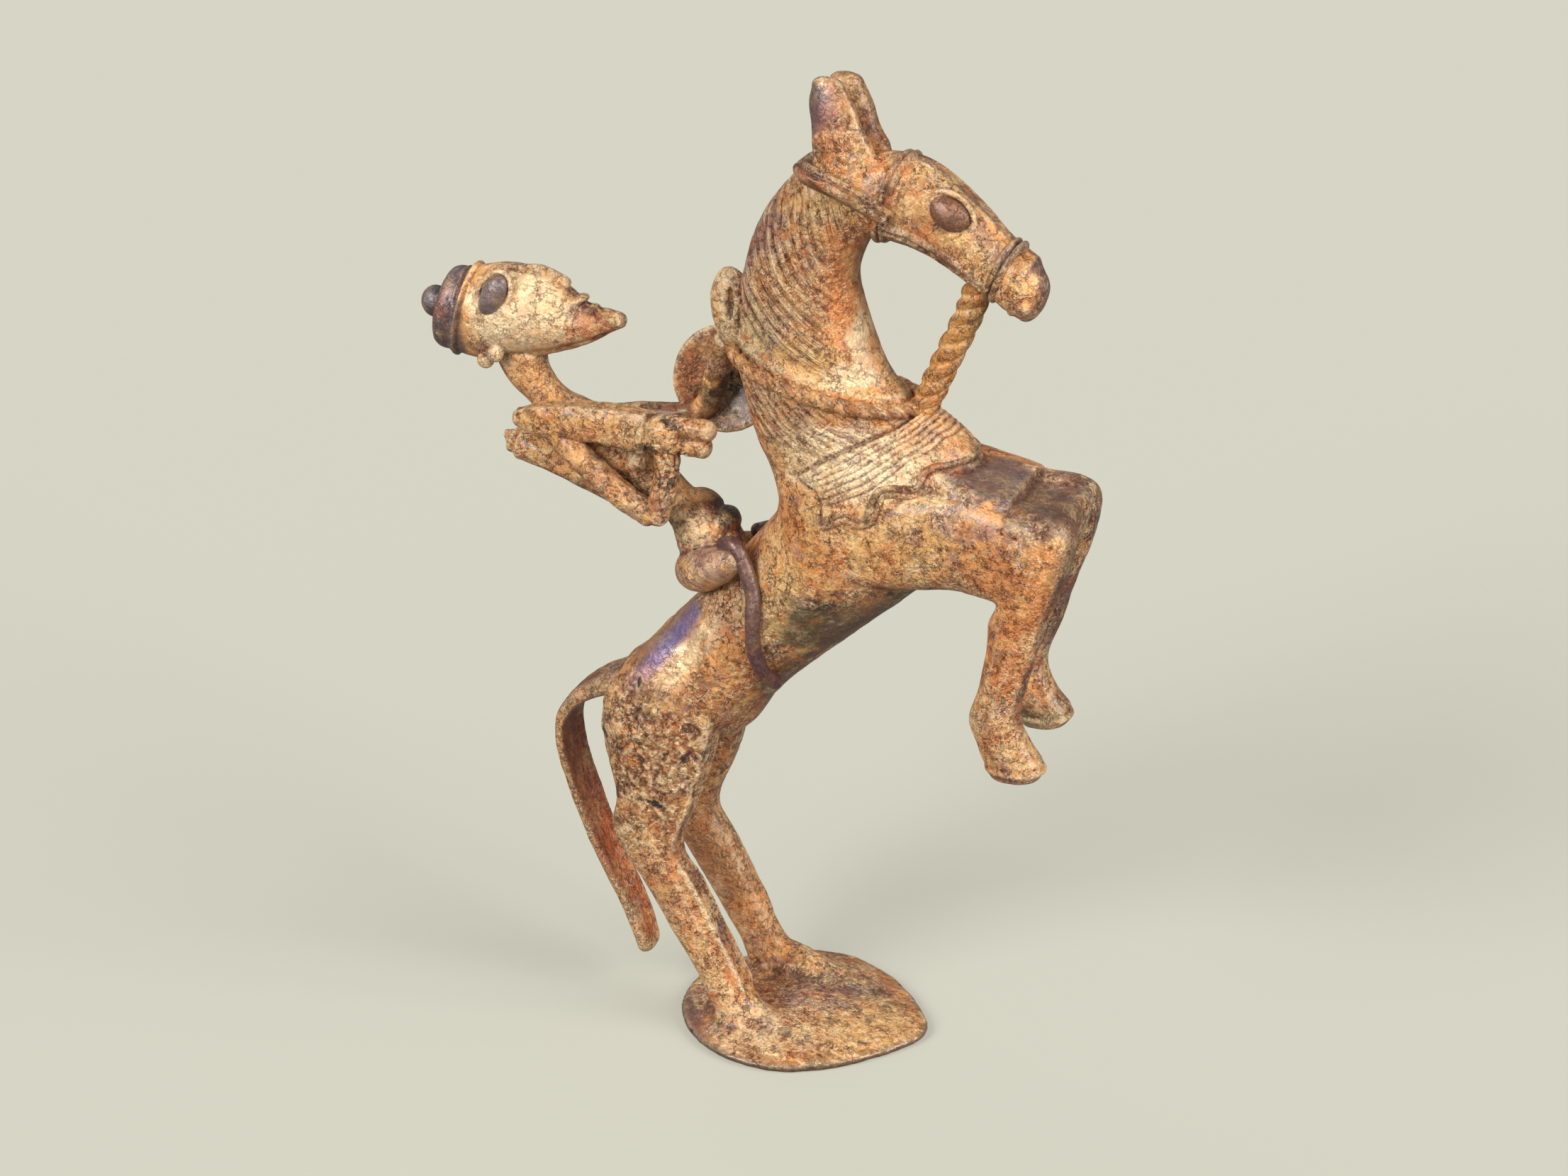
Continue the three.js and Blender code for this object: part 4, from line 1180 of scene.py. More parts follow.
def shaped(thing, look):
    """Softens, dents, carves and weathers a fused skin in parts, and stores what its material reads."""
    mesh = thing.data
    edges = edges_of(mesh)
    points = spread(points_of(mesh), edges, SKIN_ROUNDS)
    if "soft" in look:
        soft = largest(points, look["soft"], 0, "crisp")[:, None]
        points = mix(points, spread(points, edges, SOFT_ROUNDS), soft)
    set_points(mesh, points)
    normals = normals_of(mesh)
    dents = largest(points, look.get("dents", []), 0, "crisp")
    height = -dents
    furrows = fade(dents, 0.2, 1)
    if "carving" in look:
        carving, strokes = carved(points, look)
        height = height + carving
        furrows = np.maximum(furrows, 0.4 * fade(-carving, 0.1, 0.45))
        store(mesh, strokes=strokes)
    rough = largest(points, look["rough"], SEEDS["rough"])
    uneven, holes = weathered(points, rough)
    points = points + normals * (height + uneven)[:, None]
    points[:, 2] = np.maximum(points[:, 2], 0)
    set_points(mesh, points)
    normals = normals_of(mesh)
    fine = dot(points - spread(points, edges, FINE_ROUNDS), normals)
    broad = dot(points - spread(points, edges, BROAD_ROUNDS), normals)
    # Pale on convex edges and broad bulges: rubbing, and in part painted highlights along the ridges.
    highlight_and_wear = np.clip(fade(fine, 0.02, 0.16) + 0.25 * fade(broad, 0.3, 1.2), 0, 1)
    # Dark in hollows: patina in fine hollows, pits and furrows, and painted shade in broad creases between
    # parts.
    dark = np.clip(fade(-fine, 0.02, 0.14) + 0.9 * fade(-broad, 0.1, 0.8) + holes + furrows, 0, 1)
    store(mesh,
          tint=opaque(tinted(points, normals, look)),
          wear=highlight_and_wear * (1 - largest(points, look["unworn_unhighlit"], SEEDS["unworn_unhighlit"], "soft")),
          grime=dark * (1 - largest(points, look.get("clean_unshaded", []), SEEDS["clean_unshaded"], "soft")),
          crust=rough,
          gloss=largest(points, look["gloss"], SEEDS["gloss"]))
    return points


def to_metres(points):
    return points * PART + (0, 0, lowest.z)


def split(thing, regions):
    """Shares a skin's faces out among pieces and keeps its shading across the cuts.

    The regions are names and tests of the x, y and z of a face's middle in parts. The first that fits takes
    the face.
    """
    mesh = thing.data
    points = points_of(mesh)
    normals = normals_of(mesh)
    faces = read(mesh.loops, "vertex_index", 1, int).reshape(-1, 4)
    middles = (points[faces].mean(1) - (0, 0, lowest.z)) / PART
    left = np.ones(len(faces), bool)
    pieces = []
    for name, test in regions:
        chosen = left & test(*middles.T)
        left &= ~chosen
        used, own = np.unique(faces[chosen], return_inverse=True)
        piece = new_object(name, points[used], own.reshape(-1, 4).tolist())
        for kind, (_, size, key) in STORED.items():
            if kind in mesh.attributes:
                values = read(mesh.attributes[kind].data, key, size, np.float32)
                store(piece.data, **{kind: values[used]})
        smooth(piece.data)
        piece.data.normals_split_custom_set_from_vertices(normals[used].tolist())
        pieces.append(piece)
    bpy.data.objects.remove(thing)
    return pieces


def finish_piece(thing, material):
    mesh = thing.data
    smooth(mesh)
    mesh.materials.clear()
    mesh.materials.append(material)
    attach(thing, "root")
    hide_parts(CASTING)


CORD_ROUNDS = 8


def corded(name, groups, material):
    """One piece from (shells, colour, wear, gloss) groups whose own relief is enough."""
    shells = [piece for group, *_ in groups for piece in group]
    points, faces = joined(shells)
    counts = [sum(len(piece_points) for piece_points, _ in group) for group, *_ in groups]
    _, colours, wear, gloss = zip(*groups)
    thing = new_object(name, points, faces)
    mesh = thing.data
    uneven = 0.07 * noise(points, 1.8, 11) + 0.06 * noise(points, 0.8, 12)
    points = points + normals_of(mesh) * uneven[:, None]
    set_points(mesh, points)
    relief = dot(points - spread(points, edges_of(mesh), CORD_ROUNDS), normals_of(mesh))
    # Pale dashes on the cords' crowns are rubbing and in part painted highlights; their hollows get dark
    # patina.
    dashes = fade(noise(points, 3.2, 13), -0.4, 0.3)
    store(mesh,
          tint=opaque(np.repeat([screen_colour(colour) for colour in colours], counts, axis=0)),
          wear=fade(relief, 0, 0.12) * np.repeat(wear, counts) * dashes,
          grime=0.6 * fade(-relief, 0.02, 0.16),
          crust=np.zeros(len(points)),
          gloss=np.repeat(gloss, counts))
    set_points(mesh, to_metres(points))
    finish_piece(thing, material)


# Patina material, with painted highlights and painted shade

class Nodes:
    """Builds a node tree with short calls."""

    def __init__(self, material):
        self.tree = material.node_tree
        self.tree.nodes.clear()

    def add(self, kind, inputs=(), **settings):
        node = self.tree.nodes.new(kind)
        for name, value in settings.items():
            setattr(node, name, value)
        for name, value in dict(inputs).items():
            self.put(node.inputs[name], value)
        return node

    def put(self, socket, value):
        if isinstance(value, bpy.types.NodeSocket):
            self.tree.links.new(value, socket)
        else:
            socket.default_value = value

    def attribute(self, name, output="Fac"):
        return self.add("ShaderNodeAttribute", attribute_name=name).outputs[output]

    def noise(self, place, size, detail=3.0, rough=0.55, shift=0.0):
        """Noise whose lumps are about size parts across."""
        moved = self.add("ShaderNodeVectorMath", operation="ADD")
        self.put(moved.inputs[0], place)
        self.put(moved.inputs[1], (shift, shift / 2, -shift))
        return self.texture(moved.outputs[0], 1 / (size * PART), detail, rough)

    def texture(self, place, scale, detail, rough):
        inputs = {"Vector": place, "Scale": scale, "Detail": detail, "Roughness": rough}
        return self.add("ShaderNodeTexNoise", inputs).outputs["Fac"]

    def veins(self, value, width):
        """1 along the lines where a noise crosses its middle."""
        away = self.math("ABSOLUTE", self.math("SUBTRACT", value, 0.5))
        return self.step(away, width, 0)

    def step(self, value, start, end, low=0.0, high=1.0):
        """Goes from low to high as value goes from start to end."""
        inputs = {"Value": value, "From Min": start, "From Max": end, "To Min": low, "To Max": high}
        return self.add("ShaderNodeMapRange", inputs, interpolation_type="SMOOTHSTEP").outputs["Result"]

    def math(self, operation, *values):
        node = self.add("ShaderNodeMath", operation=operation)
        for socket, value in zip(node.inputs, values):
            self.put(socket, value)
        return node.outputs[0]

    def product(self, first, *others):
        for other in others:
            first = self.math("MULTIPLY", first, other)
        return first

    def blend(self, share, a, b):
        node = self.add("ShaderNodeMix", data_type="RGBA")
        self.put(node.inputs["Factor"], share)
        self.put(node.inputs["A"], a)
        self.put(node.inputs["B"], b)
        return node.outputs["Result"]


def rgba(name):
    return (*screen_colour(name), 1.0)


# Noises of the patina: size in parts, detail, roughness and shift
NOISES = {
    "broad": (11, 3),
    "stains": (4, 5, 0.62, 1),
    "hues": (6, 4, 0.6, 7),
    "grain": (1.3, 5, 0.7, 2),
    "flecks": (0.6, 3, 0.6, 3),
}

# Paints laid over the tint one after another, within a share if one is named, where a noise goes from one
# value to another
LAYERS = [
    (None, "broad", 0.5, 0.62, "straw", 0.35),
    (None, "stains", 0.5, 0.57, "rust", 0.5),
    (None, "stains", 0.45, 0.37, "straw", 0.5),
    (None, "hues", 0.54, 0.62, "orange", 0.5),
    (None, "hues", 0.44, 0.36, "mauve", 0.4),
    ("coarse", "grain", 0.54, 0.62, "cream", 0.7),
    ("coarse", "grain", 0.46, 0.38, "brown", 0.8),
    ("coarse", "grain", 0.38, 0.31, "umber", 0.8),
    ("chips", "broad", 0.44, 0.54, "cream", 0.7),
    ("cracks", "stains", 0.4, 0.5, "umber", 0.85),
    (None, "flecks", 0.4, 0.33, "umber", 0.5),
    (None, "flecks", 0.61, 0.68, "cream", 0.45),
]
STROKE_LAYERS = [(0.48, 0.4, "rust", 0.6), (0.4, 0.34, "soot", 0.7), (0.56, 0.66, "cream", 0.6)]
STROKE_STRETCH = 0.16


def patina(name, contrast=1.0):
    """Brass under an uneven patina: pale crust, rubbing and painted highlights on the highs, red-brown
    stains, dark pits, furrows and painted shade.
    """
    material = bpy.data.materials.new(name)
    material.use_nodes = True
    nodes = Nodes(material)
    place = nodes.add("ShaderNodeTexCoord").outputs["Object"]
    wear, grime, crust, gloss = (nodes.attribute(kind) for kind in ("wear", "grime", "crust", "gloss"))
    calm = nodes.math("MULTIPLY_ADD", gloss, -0.9, 1.0)
    noises = {kind: nodes.noise(place, *shape) for kind, shape in NOISES.items()}
    cracks = nodes.veins(nodes.noise(place, 3.4, 6, 0.68, 5), 0.022)
    within = {
        "coarse": nodes.math("ADD", 0.26, nodes.product(crust, 0.74)),
        "chips": nodes.veins(nodes.noise(place, 2.6, 5, 0.66, 4), 0.035),
        "cracks": cracks,
    }
    strokes = nodes.add("ShaderNodeSeparateXYZ", {"Vector": nodes.attribute("strokes", "Vector")}).outputs
    stretched = {"X": strokes["X"], "Y": nodes.product(strokes["Y"], STROKE_STRETCH)}
    combed_place = nodes.add("ShaderNodeCombineXYZ", stretched).outputs[0]
    combing = nodes.texture(combed_place, 0.9, 3.0, 0.6)
    grain = noises["grain"]
    flecks = noises["flecks"]

    colour = nodes.attribute("tint", "Color")
    for inside, kind, start, end, paint, strength in LAYERS:
        share = nodes.step(noises[kind], start, end)
        if inside:
            share = nodes.product(share, within[inside])
        colour = nodes.blend(nodes.product(share, strength * contrast, calm), colour, rgba(paint))
    for start, end, paint, strength in STROKE_LAYERS:
        share = nodes.product(strokes["Z"], nodes.step(combing, start, end, 0, strength))
        colour = nodes.blend(share, colour, rgba(paint))
    # Pale rubbed highs, in part painted highlights; glossy places keep less of them.
    kept = nodes.math("MULTIPLY_ADD", gloss, -0.5, 1.0)
    highlight_and_wear = nodes.product(wear, kept, nodes.step(grain, 0.3, 0.55, 0.3, 1))
    # Dark patina in hollows, with painted shade in the broad creases.
    dirt_and_shade = nodes.product(grime, nodes.step(flecks, 0.3, 0.6, 1, 0.6))
    blackened = nodes.product(crust, nodes.step(nodes.noise(place, 5, 5, 0.7, 6), 0.55, 0.6))
    for share, strength, paint in ((highlight_and_wear, 0.65, "cream"), (dirt_and_shade, 0.9, "soot"), (blackened, 0.85, "black")):
        colour = nodes.blend(nodes.product(share, strength), colour, rgba(paint))

    shine = nodes.math("ADD", nodes.product(highlight_and_wear, 0.5), nodes.product(gloss, 0.8))
    dull = nodes.step(grain, 0.35, 0.65, 0.36, 0.54)
    roughness = nodes.math("SUBTRACT", dull, nodes.product(shine, 0.2))
    metal = nodes.math("ADD", 0.35, nodes.product(shine, 0.15))

    height = nodes.math("ADD", grain, nodes.product(flecks, 0.35))
    height = nodes.math("SUBTRACT", height, nodes.product(cracks, 0.25))
    height = nodes.product(height, calm)
    height = nodes.math("ADD", height, nodes.product(combing, strokes["Z"], 1.4))
    bumps = {"Height": height, "Distance": 1.2 * PART, "Strength": 1.0}
    bump = nodes.add("ShaderNodeBump", bumps).outputs["Normal"]

    shader = nodes.add("ShaderNodeBsdfPrincipled", {
        "Base Color": colour, "Metallic": metal, "Roughness": roughness, "Normal": bump,
        "Coat Weight": 0.3, "Coat Roughness": 0.22,
    })
    output = nodes.add("ShaderNodeOutputMaterial")
    nodes.tree.links.new(shader.outputs["BSDF"], output.inputs["Surface"])
    return material


# Looks, as patches with a place and half sizes in parts. Soft places are smoothed, dents are pressed in,
# clean places keep off dark patina and painted shade, unworn ones keep off pale rubbed edges and painted
# highlights, rough ones are pitted and cracked, and glossy ones are calm and shiny. A tint's edge is ragged
# unless it is named crisp or soft, and a faced tint colours only what looks its way.

# Line of a painted sheen on the rump: a violet painted reflection, with a cream painted highlight beside it.
RUMP_SHEEN_LINE = [(-21.6, 97.6), (-23.6, 94.8), (-25.6, 92), (-27.6, 89.2), (-29.6, 86.4), (-31.6, 83.6),
               (-33.4, 80.8)]
SHIN_FRONT = [(63.4, 134), (62.8, 128), (61.2, 121), (59.4, 114), (57.6, 107), (55.8, 101), (54.2, 95)]

HORSE_LOOK = {
    "base": "ochre",
    "faced": [
        # Painted shade on the front faces of the forelegs.
        ((60, 0, 112), (13, 20, 34), "soot", 0.9, (1, 0.3, 0)),
        ((-44, 0, 48), (18, 12, 34), "flame", 1, (1, 0, 0)),
        ((-50, 0, 46), (18, 12, 44), "umber", 0.7, (-1, 0, 0)),
        ((10, 0, 100), (44, 26, 24), "moss", 0.9, (0.3, 0, -1)),
        # Dark plate rim with a painted contact shadow along its foot.
        ((0, 0, 1), (44, 38, 3.4), "umber", 0.95, (-0.4, -0.9, -0.1)),
        ((0, 0, 1), (44, 38, 3.4), "umber", 0.85, (0.9, -0.4, -0.1)),
        # Painted shade on the forward faces of the hind legs.
        ((-16, -6, 46), (12, 12, 30), "brown", 0.6, (1, 0.2, 0)),
    ],
    "carving": (TRUNK, trunk_relief, 3.5),
    "combing": combed,
    "soft": [
        ((-6, -12.2, 5), (15, 11, 8), 1),
        ((-4, 12, 7), (22, 12, 11), 1),
        ((-28, 0, 84), (14, 20, 10), 0.8),
    ],
    "dents": [
        ((-14.6, -4.4, 168), (1, 2.6, 4), 1.2),
        ((-2, -14.5, 119), (2.2, 3, 1.3), 1.1),
    ],
    "clean_unshaded": [
        ((-46, 0, 44), (9, 8, 30), 0.9),
        ((14, -4, 168), (6, 7, 20), 0.6),
    ],
    "unworn_unhighlit": [
        ((56, 0, 134), (16, 22, 9), 0.9),
        ((60, 8, 112), (14, 12, 34), 0.95),
        ((57, -12, 110), (11, 12, 34), 0.9),
        ((0, 0, 0), (46, 40, 3), 1),
        ((52, 0, 75), (16, 20, 3), 1),
        ((-46, 0, 46), (16, 14, 44), 0.8),
        ((-26, -12, 90), (14, 12, 16), 0.6),
    ],
    "rough": [
        ((-28, -14, 67), (15, 10, 17), 1.0),
        ((-30, 14, 66), (15, 10, 18), 0.8),
        ((-30, -12, 48), (10, 9, 10), 0.6),
        ((2, 0, 4), (32, 30, 5), 0.5),
        ((30, -14, 122), (22, 8, 14), 0.25),
        ((-14, 0, 156), (8, 12, 12), 0.45),
        ((52, -4, 134), (12, 14, 6), 0.15),
    ],
    "gloss": [
        ((-25, -8, 91), (11, 10, 12), 0.85),
        ((14, -4, 168), (6, 7, 20), 0.5),
        ((12, -8, 156), (12, 8, 4), 0.4),
        ((18, -12, 139), (18, 8, 8), 0.35),
        ((50, -4, 136), (17, 14, 6), 0.7),
        ((-9, -14, 116), (5, 5, 5), 0.6),
        ((12, -12, 101), (15, 10, 8), 0.6),
        ((50, 11, 79), (8, 6, 6), 0.5),
        ((-46, 0, 46), (9, 6, 30), 0.5),
        ((20, 0, 4), (14, 20, 4), 0.2),
        ((0, 0, 0), (90, 90, 2.6), 0.9),
        ((-28, 12, 20), (14, 8, 24), 0.4),
        ((60, -10, 126), (5, 8, 10), 0.6),
    ],
    "tints": [
        # mane and neck
        ((-9, -5, 180), (7, 8, 20), "mauve", 0.75),
        ((-9, -3, 186), (5, 8, 8), "slate", 0.35),
        ((1, -8, 179), (8, 6, 16), "sienna", 0.5),
        ((5.4, -7, 192), (5, 5, 4), "straw", 0.7),
        ((12, -6, 188), (5, 5, 4), "orange", 0.8),
        ((11, -7, 180), (4, 6, 9), "orange", 0.8),
        ((11.4, -7, 168), (3, 6, 9), "orange", 0.7),
        # Painted highlight along the throat's front edge.
        ((15, -5, 168), (3, 6, 15), "cream", 0.9),
        ((18, -3, 162), (3, 6, 8), "tan", 0.8),
        ((-10, -6, 161), (8, 8, 10), "stone", 0.8),
        ((5, -10, 160.5), (8, 8, 3.4), "straw", 0.8),
        ((14, -9, 156.6), (9, 8, 3), "cream", 0.9),
        ((-2, -10, 146), (8, 8, 10), "stone", 0.6),
        ((-8, -12, 130), (8, 8, 14), "tan", 0.5),
        # cloth and shoulders
        ((18, -12, 139), (20, 9, 9), "cream", 1),
        ((18, -14, 131), (14, 6, 5), "tan", 0.6),
        ((30, -15, 124), (16, 8, 10), "straw", 0.5),
        ((48, -15, 120), (10, 8, 10), "orange", 0.4),
        # belly, flank and rump
        ((9, -12, 101), (17, 10, 9), "moss", 1),
        ((14, -12, 102.4), (11, 10, 6.4), "moss", 0.9, "soft"),
        # Painted shadow under the near foreleg, along the belly.
        ((6, -14, 108), (15, 6, 1.6), "black", 0.7),
        ((-2, -13, 108), (6, 8, 14), "straw", 0.6),
        ((-14, -10, 104), (9, 10, 8), "mauve", 0.5),
        ((-25, -6, 90), (13, 10, 15), "umber", 0.6),
        # Painted sheen along the rump: violet painted reflection and cream painted highlight.
        *(((x, -8, z), (2.4, 8, 3), "violet", 0.8, "soft") for x, z in RUMP_SHEEN_LINE),
        *(((x + 5.6, -11, z - 0.6), (3.2, 8, 3.4), "cream", 0.5, "soft")
          for x, z in RUMP_SHEEN_LINE[:6]),
        ((-28, -16, 70), (14, 10, 18), "brown", 0.5),
        # step, knees and forelegs
        ((43, -6, 138.5), (9, 16, 4.5), "slate", 0.8),
        # Painted highlight, mauve, on the near shoulder below the step.
        ((40, -15, 131), (7, 5, 4), "mauve", 0.6),
        ((41, -16, 121), (4, 4, 3.4), "rust", 0.6),
        ((56, -3, 135.4), (11, 18, 6), "slate", 0.75, "crisp"),
        ((57, -8, 133), (9, 12, 5), "umber", 0.6),
        # Painted shade on the knees' front, the far foreleg and the fronts of the shins.
        ((65.4, 0, 131), (4, 24, 9), "soot", 0.75, "crisp"),
        ((58, 9, 108), (9, 7, 28), "umber", 0.85),
        *(((x, 0, z), (2.6, 24, 6), "soot", 0.8, "soft") for x, z in SHIN_FRONT),
        # Painted shadow along the near foreleg's lower edge.
        ((20, -14, 111.6), (11, 6, 1.2), "soot", 0.8, "crisp"),
        ((37, -14, 113.6), (11, 6, 1.2), "soot", 0.7, "crisp"),
        ((50, 9, 79), (8, 6, 5), "moss", 1),
        ((52, -10, 105), (8, 8, 16), "orange", 0.5),
        ((50, -12, 84), (10, 9, 9), "clay", 0.6),
        ((52, -12, 74.6), (14, 9, 1.8), "soot", 0.7, "crisp"),
        # tail and hind shins
        ((-44, 0, 77), (13, 9, 6), "brown", 0.7),
        ((-46, 0, 44), (14, 10, 34), "brown", 0.5),
        ((-26, 12, 30), (14, 8, 22), "clay", 0.7),
        ((-28, -12, 30), (14, 8, 24), "clay", 0.6),
        # foot plate
        ((4, 0, 5), (10, 10, 4), "mauve", 0.7),
        ((12, 8, 5), (8, 6, 4), "slate", 0.6),
        ((2, 0, 3), (60, 54, 6), "brown", 0.3),
        ((-4, -17, 5), (13, 8, 5), "cream", 0.5),
        ((-18, -4, 4), (8, 10, 4), "brown", 0.5),
        ((18, -6, 3), (12, 14, 4), "straw", 0.4),
        # Dark rim with a painted contact shadow along the bottom of the plate.
        ((0, 0, 0), (90, 90, 2.4), "umber", 0.85, "crisp"),
        ((-22, -12, 1), (9, 12, 2), "plum", 0.8),
    ],
}

HEAD_LOOK = {
    "base": "ochre",
    "faced": [
        # Painted shade on the muzzle's front end.
        ((53, 0, 180), (7, 10, 12), "plum", 0.95, (1, 0.3, 0)),
        # Painted shade on the underside of the head.
        ((40, 0, 176), (24, 10, 14), "brown", 0.8, (-0.2, 0, -1)),
        ((36, 0, 198), (24, 10, 12), "brown", 0.6, (0.3, 0.6, 0.7)),
    ],
    "unworn_unhighlit": [
        ((9, 9, 208), (10, 6, 16), 1),
        ((54, 0, 180), (5, 12, 12), 0.7),
    ],
    "rough": [
        ((8, -8, 205), (8, 5, 9), 0.45),
        ((20, -7, 196), (6, 4, 8), 0.25),
    ],
    "gloss": [
        ((4, -3, 212), (6, 7, 7), 0.9),
        ((9, 9, 208), (10, 5, 14), 0.6),
        ((53, -2, 180), (5, 8, 8), 0.6),
        ((30, -6, 190), (14, 6, 10), 0.3),
    ],
    "tints": [
        # cheek and profile
        ((28, -7, 190), (18, 6, 12), "brown", 0.45),
        ((25, -7, 191), (8, 5, 9), "brown", 0.3, "soft"),
        ((26, -7, 186), (14, 5, 3), "rust", 0.6),
        ((33.4, -6, 193), (8, 5, 7), "straw", 0.35),
        ((40, -6, 186), (6, 5, 5), "straw", 0.5),
        ((30, 0, 202), (14, 6, 3), "brown", 0.5),
        ((38, 0, 197), (16, 5, 2.6), "brown", 0.4),
        ((49, -4, 183), (5, 6, 5), "straw", 0.5),
        ((49, -4, 175), (5, 6, 3), "rust", 0.7),
        # Painted shade on the muzzle's front end.
        ((54.6, 0, 180), (2.6, 8, 8), "plum", 0.9),
        # ears
        ((9, -5, 204), (9, 6, 10), "sienna", 0.8),
        ((10, -5, 199), (6, 5, 4), "orange", 0.6),
        ((4, -3, 213), (6, 6, 7), "slate", 0.9, "soft"),
        ((2.6, -4, 206), (2.6, 6, 8), "slate", 0.8, "soft"),
        ((9, 9.4, 208), (10, 5.4, 16), "brown", 0.9, "crisp"),
        ((33.2, -5, 191.4), (5, 4, 1.4), "brown", 0.5),
    ],
}

RIDER_LOOK = {
    "base": "tan",
    "faced": [
        # Painted shade on the undersides of the near arm and the parts round it.
        ((-40, -8, 130), (22, 10, 15), "umber", 0.7, (0.2, 0, -1)),
    ],
    "clean_unshaded": [
        ((-60, -5, 158), (16, 9, 12), 0.5),
    ],
    "unworn_unhighlit": [
        ((-78, 0, 158), (9, 14, 18), 0.8),
        ((-17, -1, 118), (8, 10, 7), 0.9),
    ],
    "rough": [
        ((-48, 0, 163), (7, 6, 4), 0.6),
        ((-27, -10, 134), (6, 6, 12), 1.0),
        ((-36, -9, 126), (12, 6, 9), 0.6),
        ((-60, 0, 156), (16, 9, 10), 0.15),
        ((-46, -9, 140), (16, 5, 6), 0.35),
        ((-22, 0, 114), (8, 9, 8), 0.5),
    ],
    "gloss": [
        ((-58, -6, 157), (14, 7, 11), 0.5),
        ((-20, 12, 139), (10, 8, 8), 0.7),
        ((-12, -13, 114), (8, 5, 6), 0.6),
        ((-28, 13, 148), (9, 6, 10), 0.4),
        ((-18, -3, 119), (7, 8, 5), 0.6),
        ((-46, -11, 129), (12, 4, 8), 0.3),
        ((-77, 0, 158), (8, 16, 18), 0.8),
        ((-83.2, 0, 157.8), (4, 4, 4), 0.8),
        ((-14, -11, 112), (10, 6, 6), 0.5),
        ((-60, 0, 144), (8, 6, 6), 0.3),
    ],
    "tints": [
        # face and cap
        ((-60, -5, 158), (15, 8, 12), "cream", 0.95),
        ((-45, 0, 159), (8, 6, 6), "sienna", 0.9),
        ((-48, 0, 164), (8, 6, 3), "rust", 0.8),
        ((-60, 0, 169), (10, 4, 2), "brown", 0.6),
        ((-79, 0, 157), (6, 14, 17), "plum", 0.9, "crisp"),
        ((-79, 0, 158), (5.6, 14, 17), "slate", 0.6, "crisp"),
        ((-83.6, 0, 157.8), (5, 5, 5.4), "slate", 0.9, "crisp"),
        # neck, near arm and quiver
        ((-60, 0, 144), (8, 6, 6), "tan", 0.6),
        ((-54, -9, 139), (8, 5, 4), "straw", 0.6),
        ((-62, -4, 131), (5, 6, 5), "orange", 0.6),
        ((-46, -4, 124), (14, 5, 4), "brown", 0.6),
        ((-40, -11, 128), (12, 4, 6), "sienna", 0.4),
        ((-27, -10, 126), (4, 5, 8), "sienna", 0.7),
        # waist and sash
        ((-23, -6, 115), (6, 6, 5), "cream", 0.7),
        ((-17, -1, 120.6), (6, 8, 3.6), "black", 0.95),
        ((-14, -2, 115.4), (2.6, 4, 4.4), "black", 0.9),
        # far arm and shield
        ((-24, 12, 146), (10, 4, 12), "orange", 0.5),
        ((-20, 7, 150), (5, 4, 8), "brown", 0.6),
        ((-28, 14, 147), (9, 5, 10), "brown", 0.8),
        ((-30, 8, 135.6), (14, 5, 4), "brown", 0.8),
        ((-18, 14, 136), (10, 8, 7), "umber", 1),
        # Painted shadow between the far arm, the shield and the mane.
        ((-20.5, 10, 142), (5.5, 7, 6), "black", 1),
        # thighs, elbow and shoulder
        ((-16, -10, 113), (7, 6, 5), "mauve", 0.8),
        ((-9, -14, 116), (4, 5, 5), "plum", 0.8),
        # Painted shadow in the gaps between the near arm, the bar and the quiver.
        ((-36.9, -7, 132.8), (3, 3, 1.8), "black", 0.8),
        ((-52.8, -7, 133.6), (2.4, 3, 2), "black", 0.8),
        ((-24, -4, 109), (4, 6, 5), "rust", 0.8),
    ],
}

HORSE_PIECES = [
    ("foot_plate", lambda x, y, z: z < 36),
    ("hindquarters", lambda x, y, z: z + x < 104),
    ("forelegs", lambda x, y, z: (x > 19) & (z < 140)),
    ("chest_and_neck", lambda x, y, z: z > 0),
]

RIDER_PIECES = [
    ("rider_head", lambda x, y, z: (x < -38) & (z > 146)),
    ("rider_arms", lambda x, y, z: z + 0.5 * x > 112.5),
    ("rider_waist", lambda x, y, z: z > 0),
]


# Stage: a pale sage floor under soft light

BACKDROP = (0.672, 0.658, 0.552)
BACKDROP_GLOW = 0.74
BACKDROP_GLOW_SHARE = 0.6
FLOOR_HALF = 1.6  # metres


def add_stage():
    corners = [(-1, -1), (1, -1), (1, 1), (-1, 1)]
    points = np.array([(x * FLOOR_HALF, y * FLOOR_HALF, lowest.z) for x, y in corners])
    floor = new_object("floor", points, [[0, 1, 2, 3]])
    material = bpy.data.materials.new("paper")
    material.use_nodes = True
    nodes = Nodes(material)
    lit = nodes.add("ShaderNodeBsdfDiffuse", {"Color": (*BACKDROP, 1)})
    glow = nodes.add("ShaderNodeEmission", {"Color": (*BACKDROP, 1), "Strength": BACKDROP_GLOW})
    both = nodes.add("ShaderNodeMixShader", {"Fac": BACKDROP_GLOW_SHARE})
    nodes.tree.links.new(lit.outputs[0], both.inputs[1])
    nodes.tree.links.new(glow.outputs[0], both.inputs[2])
    output = nodes.add("ShaderNodeOutputMaterial")
    nodes.tree.links.new(both.outputs[0], output.inputs["Surface"])
    floor.data.materials.append(material)
    floor.visible_diffuse = False
    floor.visible_glossy = False


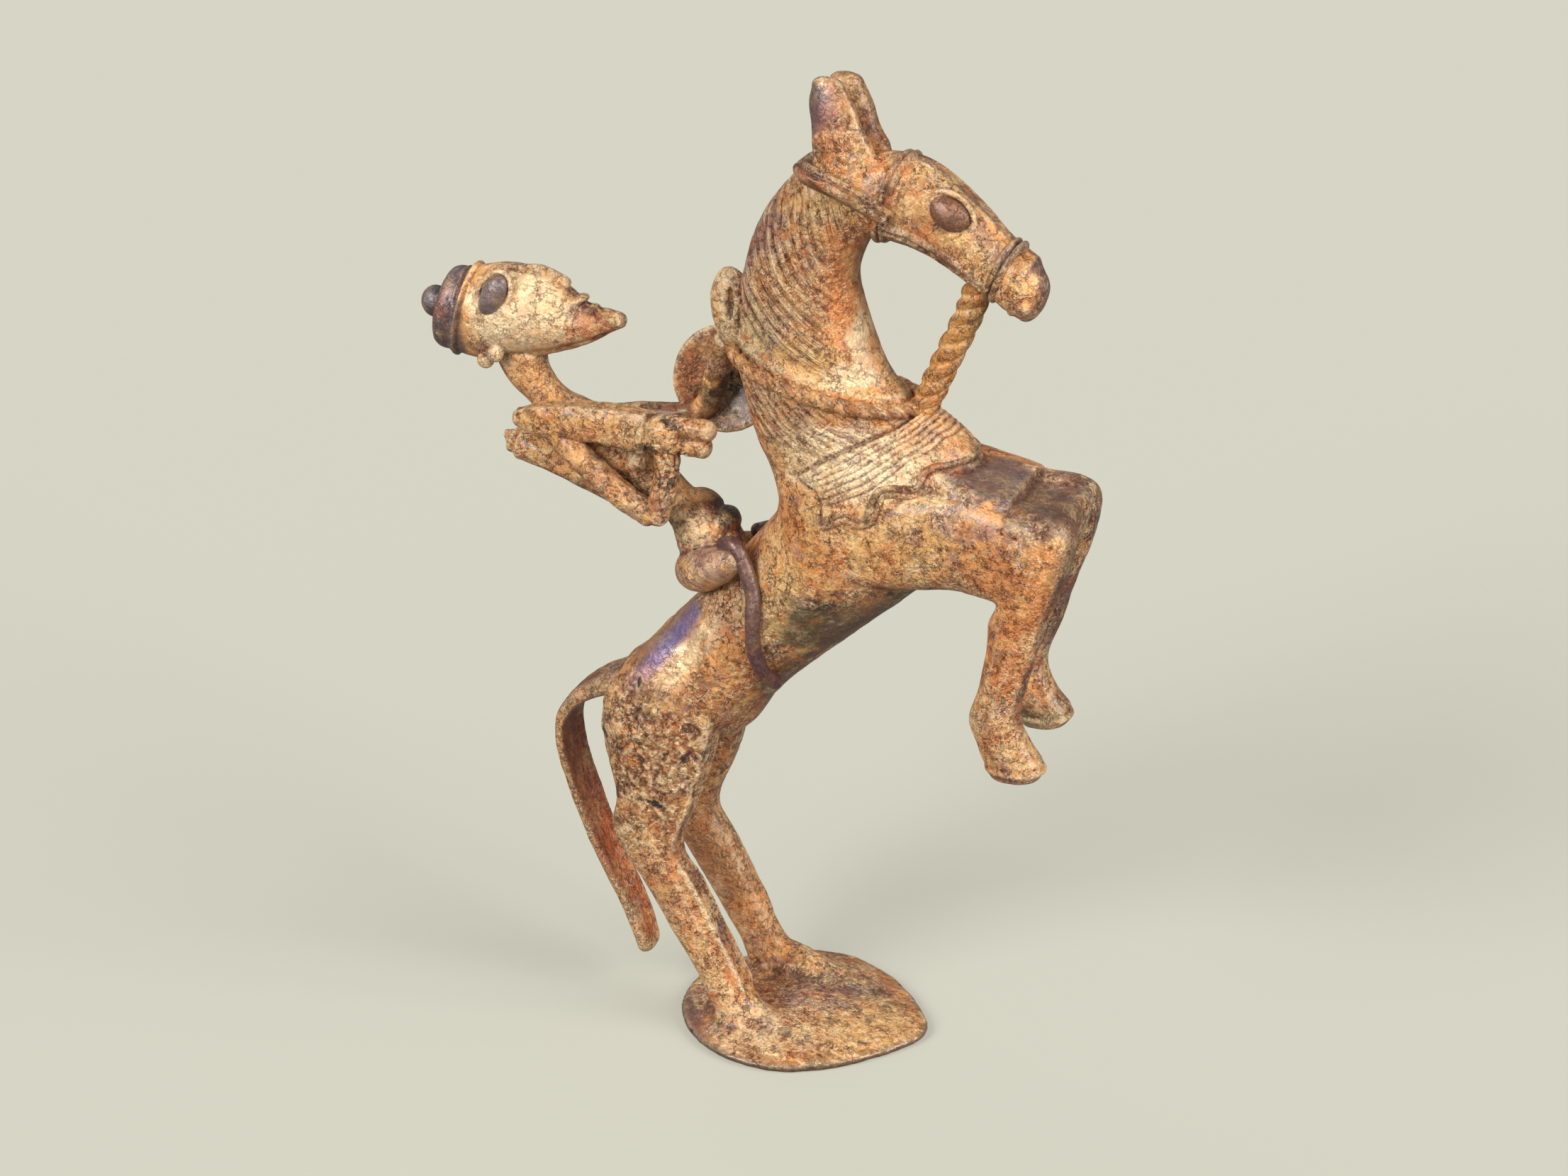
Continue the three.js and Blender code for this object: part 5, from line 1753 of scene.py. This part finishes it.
# Far soft lights: name, direction they shine from, strength, and how wide they look in degrees
SUNS = [
    ("key", (-0.5, -0.85, 0.6), 3.3, 31),
    ("fill", (0.95, -0.12, 0.5), 3.4, 40),
    ("front", (0.3, -0.9, 0.3), 1, 90),
    ("back", (-0.8, 0.5, 0.6), 0.4, 40),
]
STUDIO_COLOUR = (0.93, 0.93, 0.9, 1)
STUDIO_STRENGTH = 0.2


def add_lights():
    for name, direction, strength, spread_angle in SUNS:
        data = bpy.data.lights.new(name, "SUN")
        data.energy = strength
        data.angle = math.radians(spread_angle)
        light = bpy.data.objects.new(name, data)
        light.rotation_euler = Vector(direction).to_track_quat("Z", "Y").to_euler()
        bpy.context.collection.objects.link(light)
    world = bpy.data.worlds.new("studio")
    world.use_nodes = True
    background = world.node_tree.nodes["Background"]
    background.inputs["Color"].default_value = STUDIO_COLOUR
    background.inputs["Strength"].default_value = STUDIO_STRENGTH
    bpy.context.scene.world = world
    bpy.context.scene.view_settings.view_transform = "Standard"


add_camera()
add_stage()
add_lights()

skin = patina("patinated_brass_skin")
cords = patina("patinated_brass_cords", contrast=0.9)

horse = fused("horse", horse_shells(), HORSE_GRAIN)
horse_points = shaped(horse, HORSE_LOOK)
horse_faces = [tuple(face.vertices) for face in horse.data.polygons]
surface = bvhtree.BVHTree.FromPolygons(horse_points.tolist(), horse_faces)
set_points(horse.data, to_metres(horse_points))
for piece in split(horse, HORSE_PIECES):
    finish_piece(piece, skin)

head = fused("horse_head", head_shells(), HEAD_GRAIN)
set_points(head.data, to_metres(shaped(head, HEAD_LOOK)))
finish_piece(head, skin)

rider = fused("rider", rider_shells(), RIDER_GRAIN)
set_points(rider.data, to_metres(shaped(rider, RIDER_LOOK)))
for piece in split(rider, RIDER_PIECES):
    finish_piece(piece, skin)

corded("tack", [
    (halter(), "brown", 0.5, 0.2),
    ([lead_rope()], "amber", 1.2, 0.1),
    (collar(), "tan", 1.2, 0),
    ([hem(surface)], "brown", 0.5, 0.2),
    (rider_shanks(), "plum", 0.9, 0.9),
    # The horse's eyes get a high rubbing share, which paints cream glints as painted highlights.
    (horse_eyes(), "chestnut", 2, 0.8),
    (rider_eyes(), "pewter", 0.6, 0.8),
], cords)
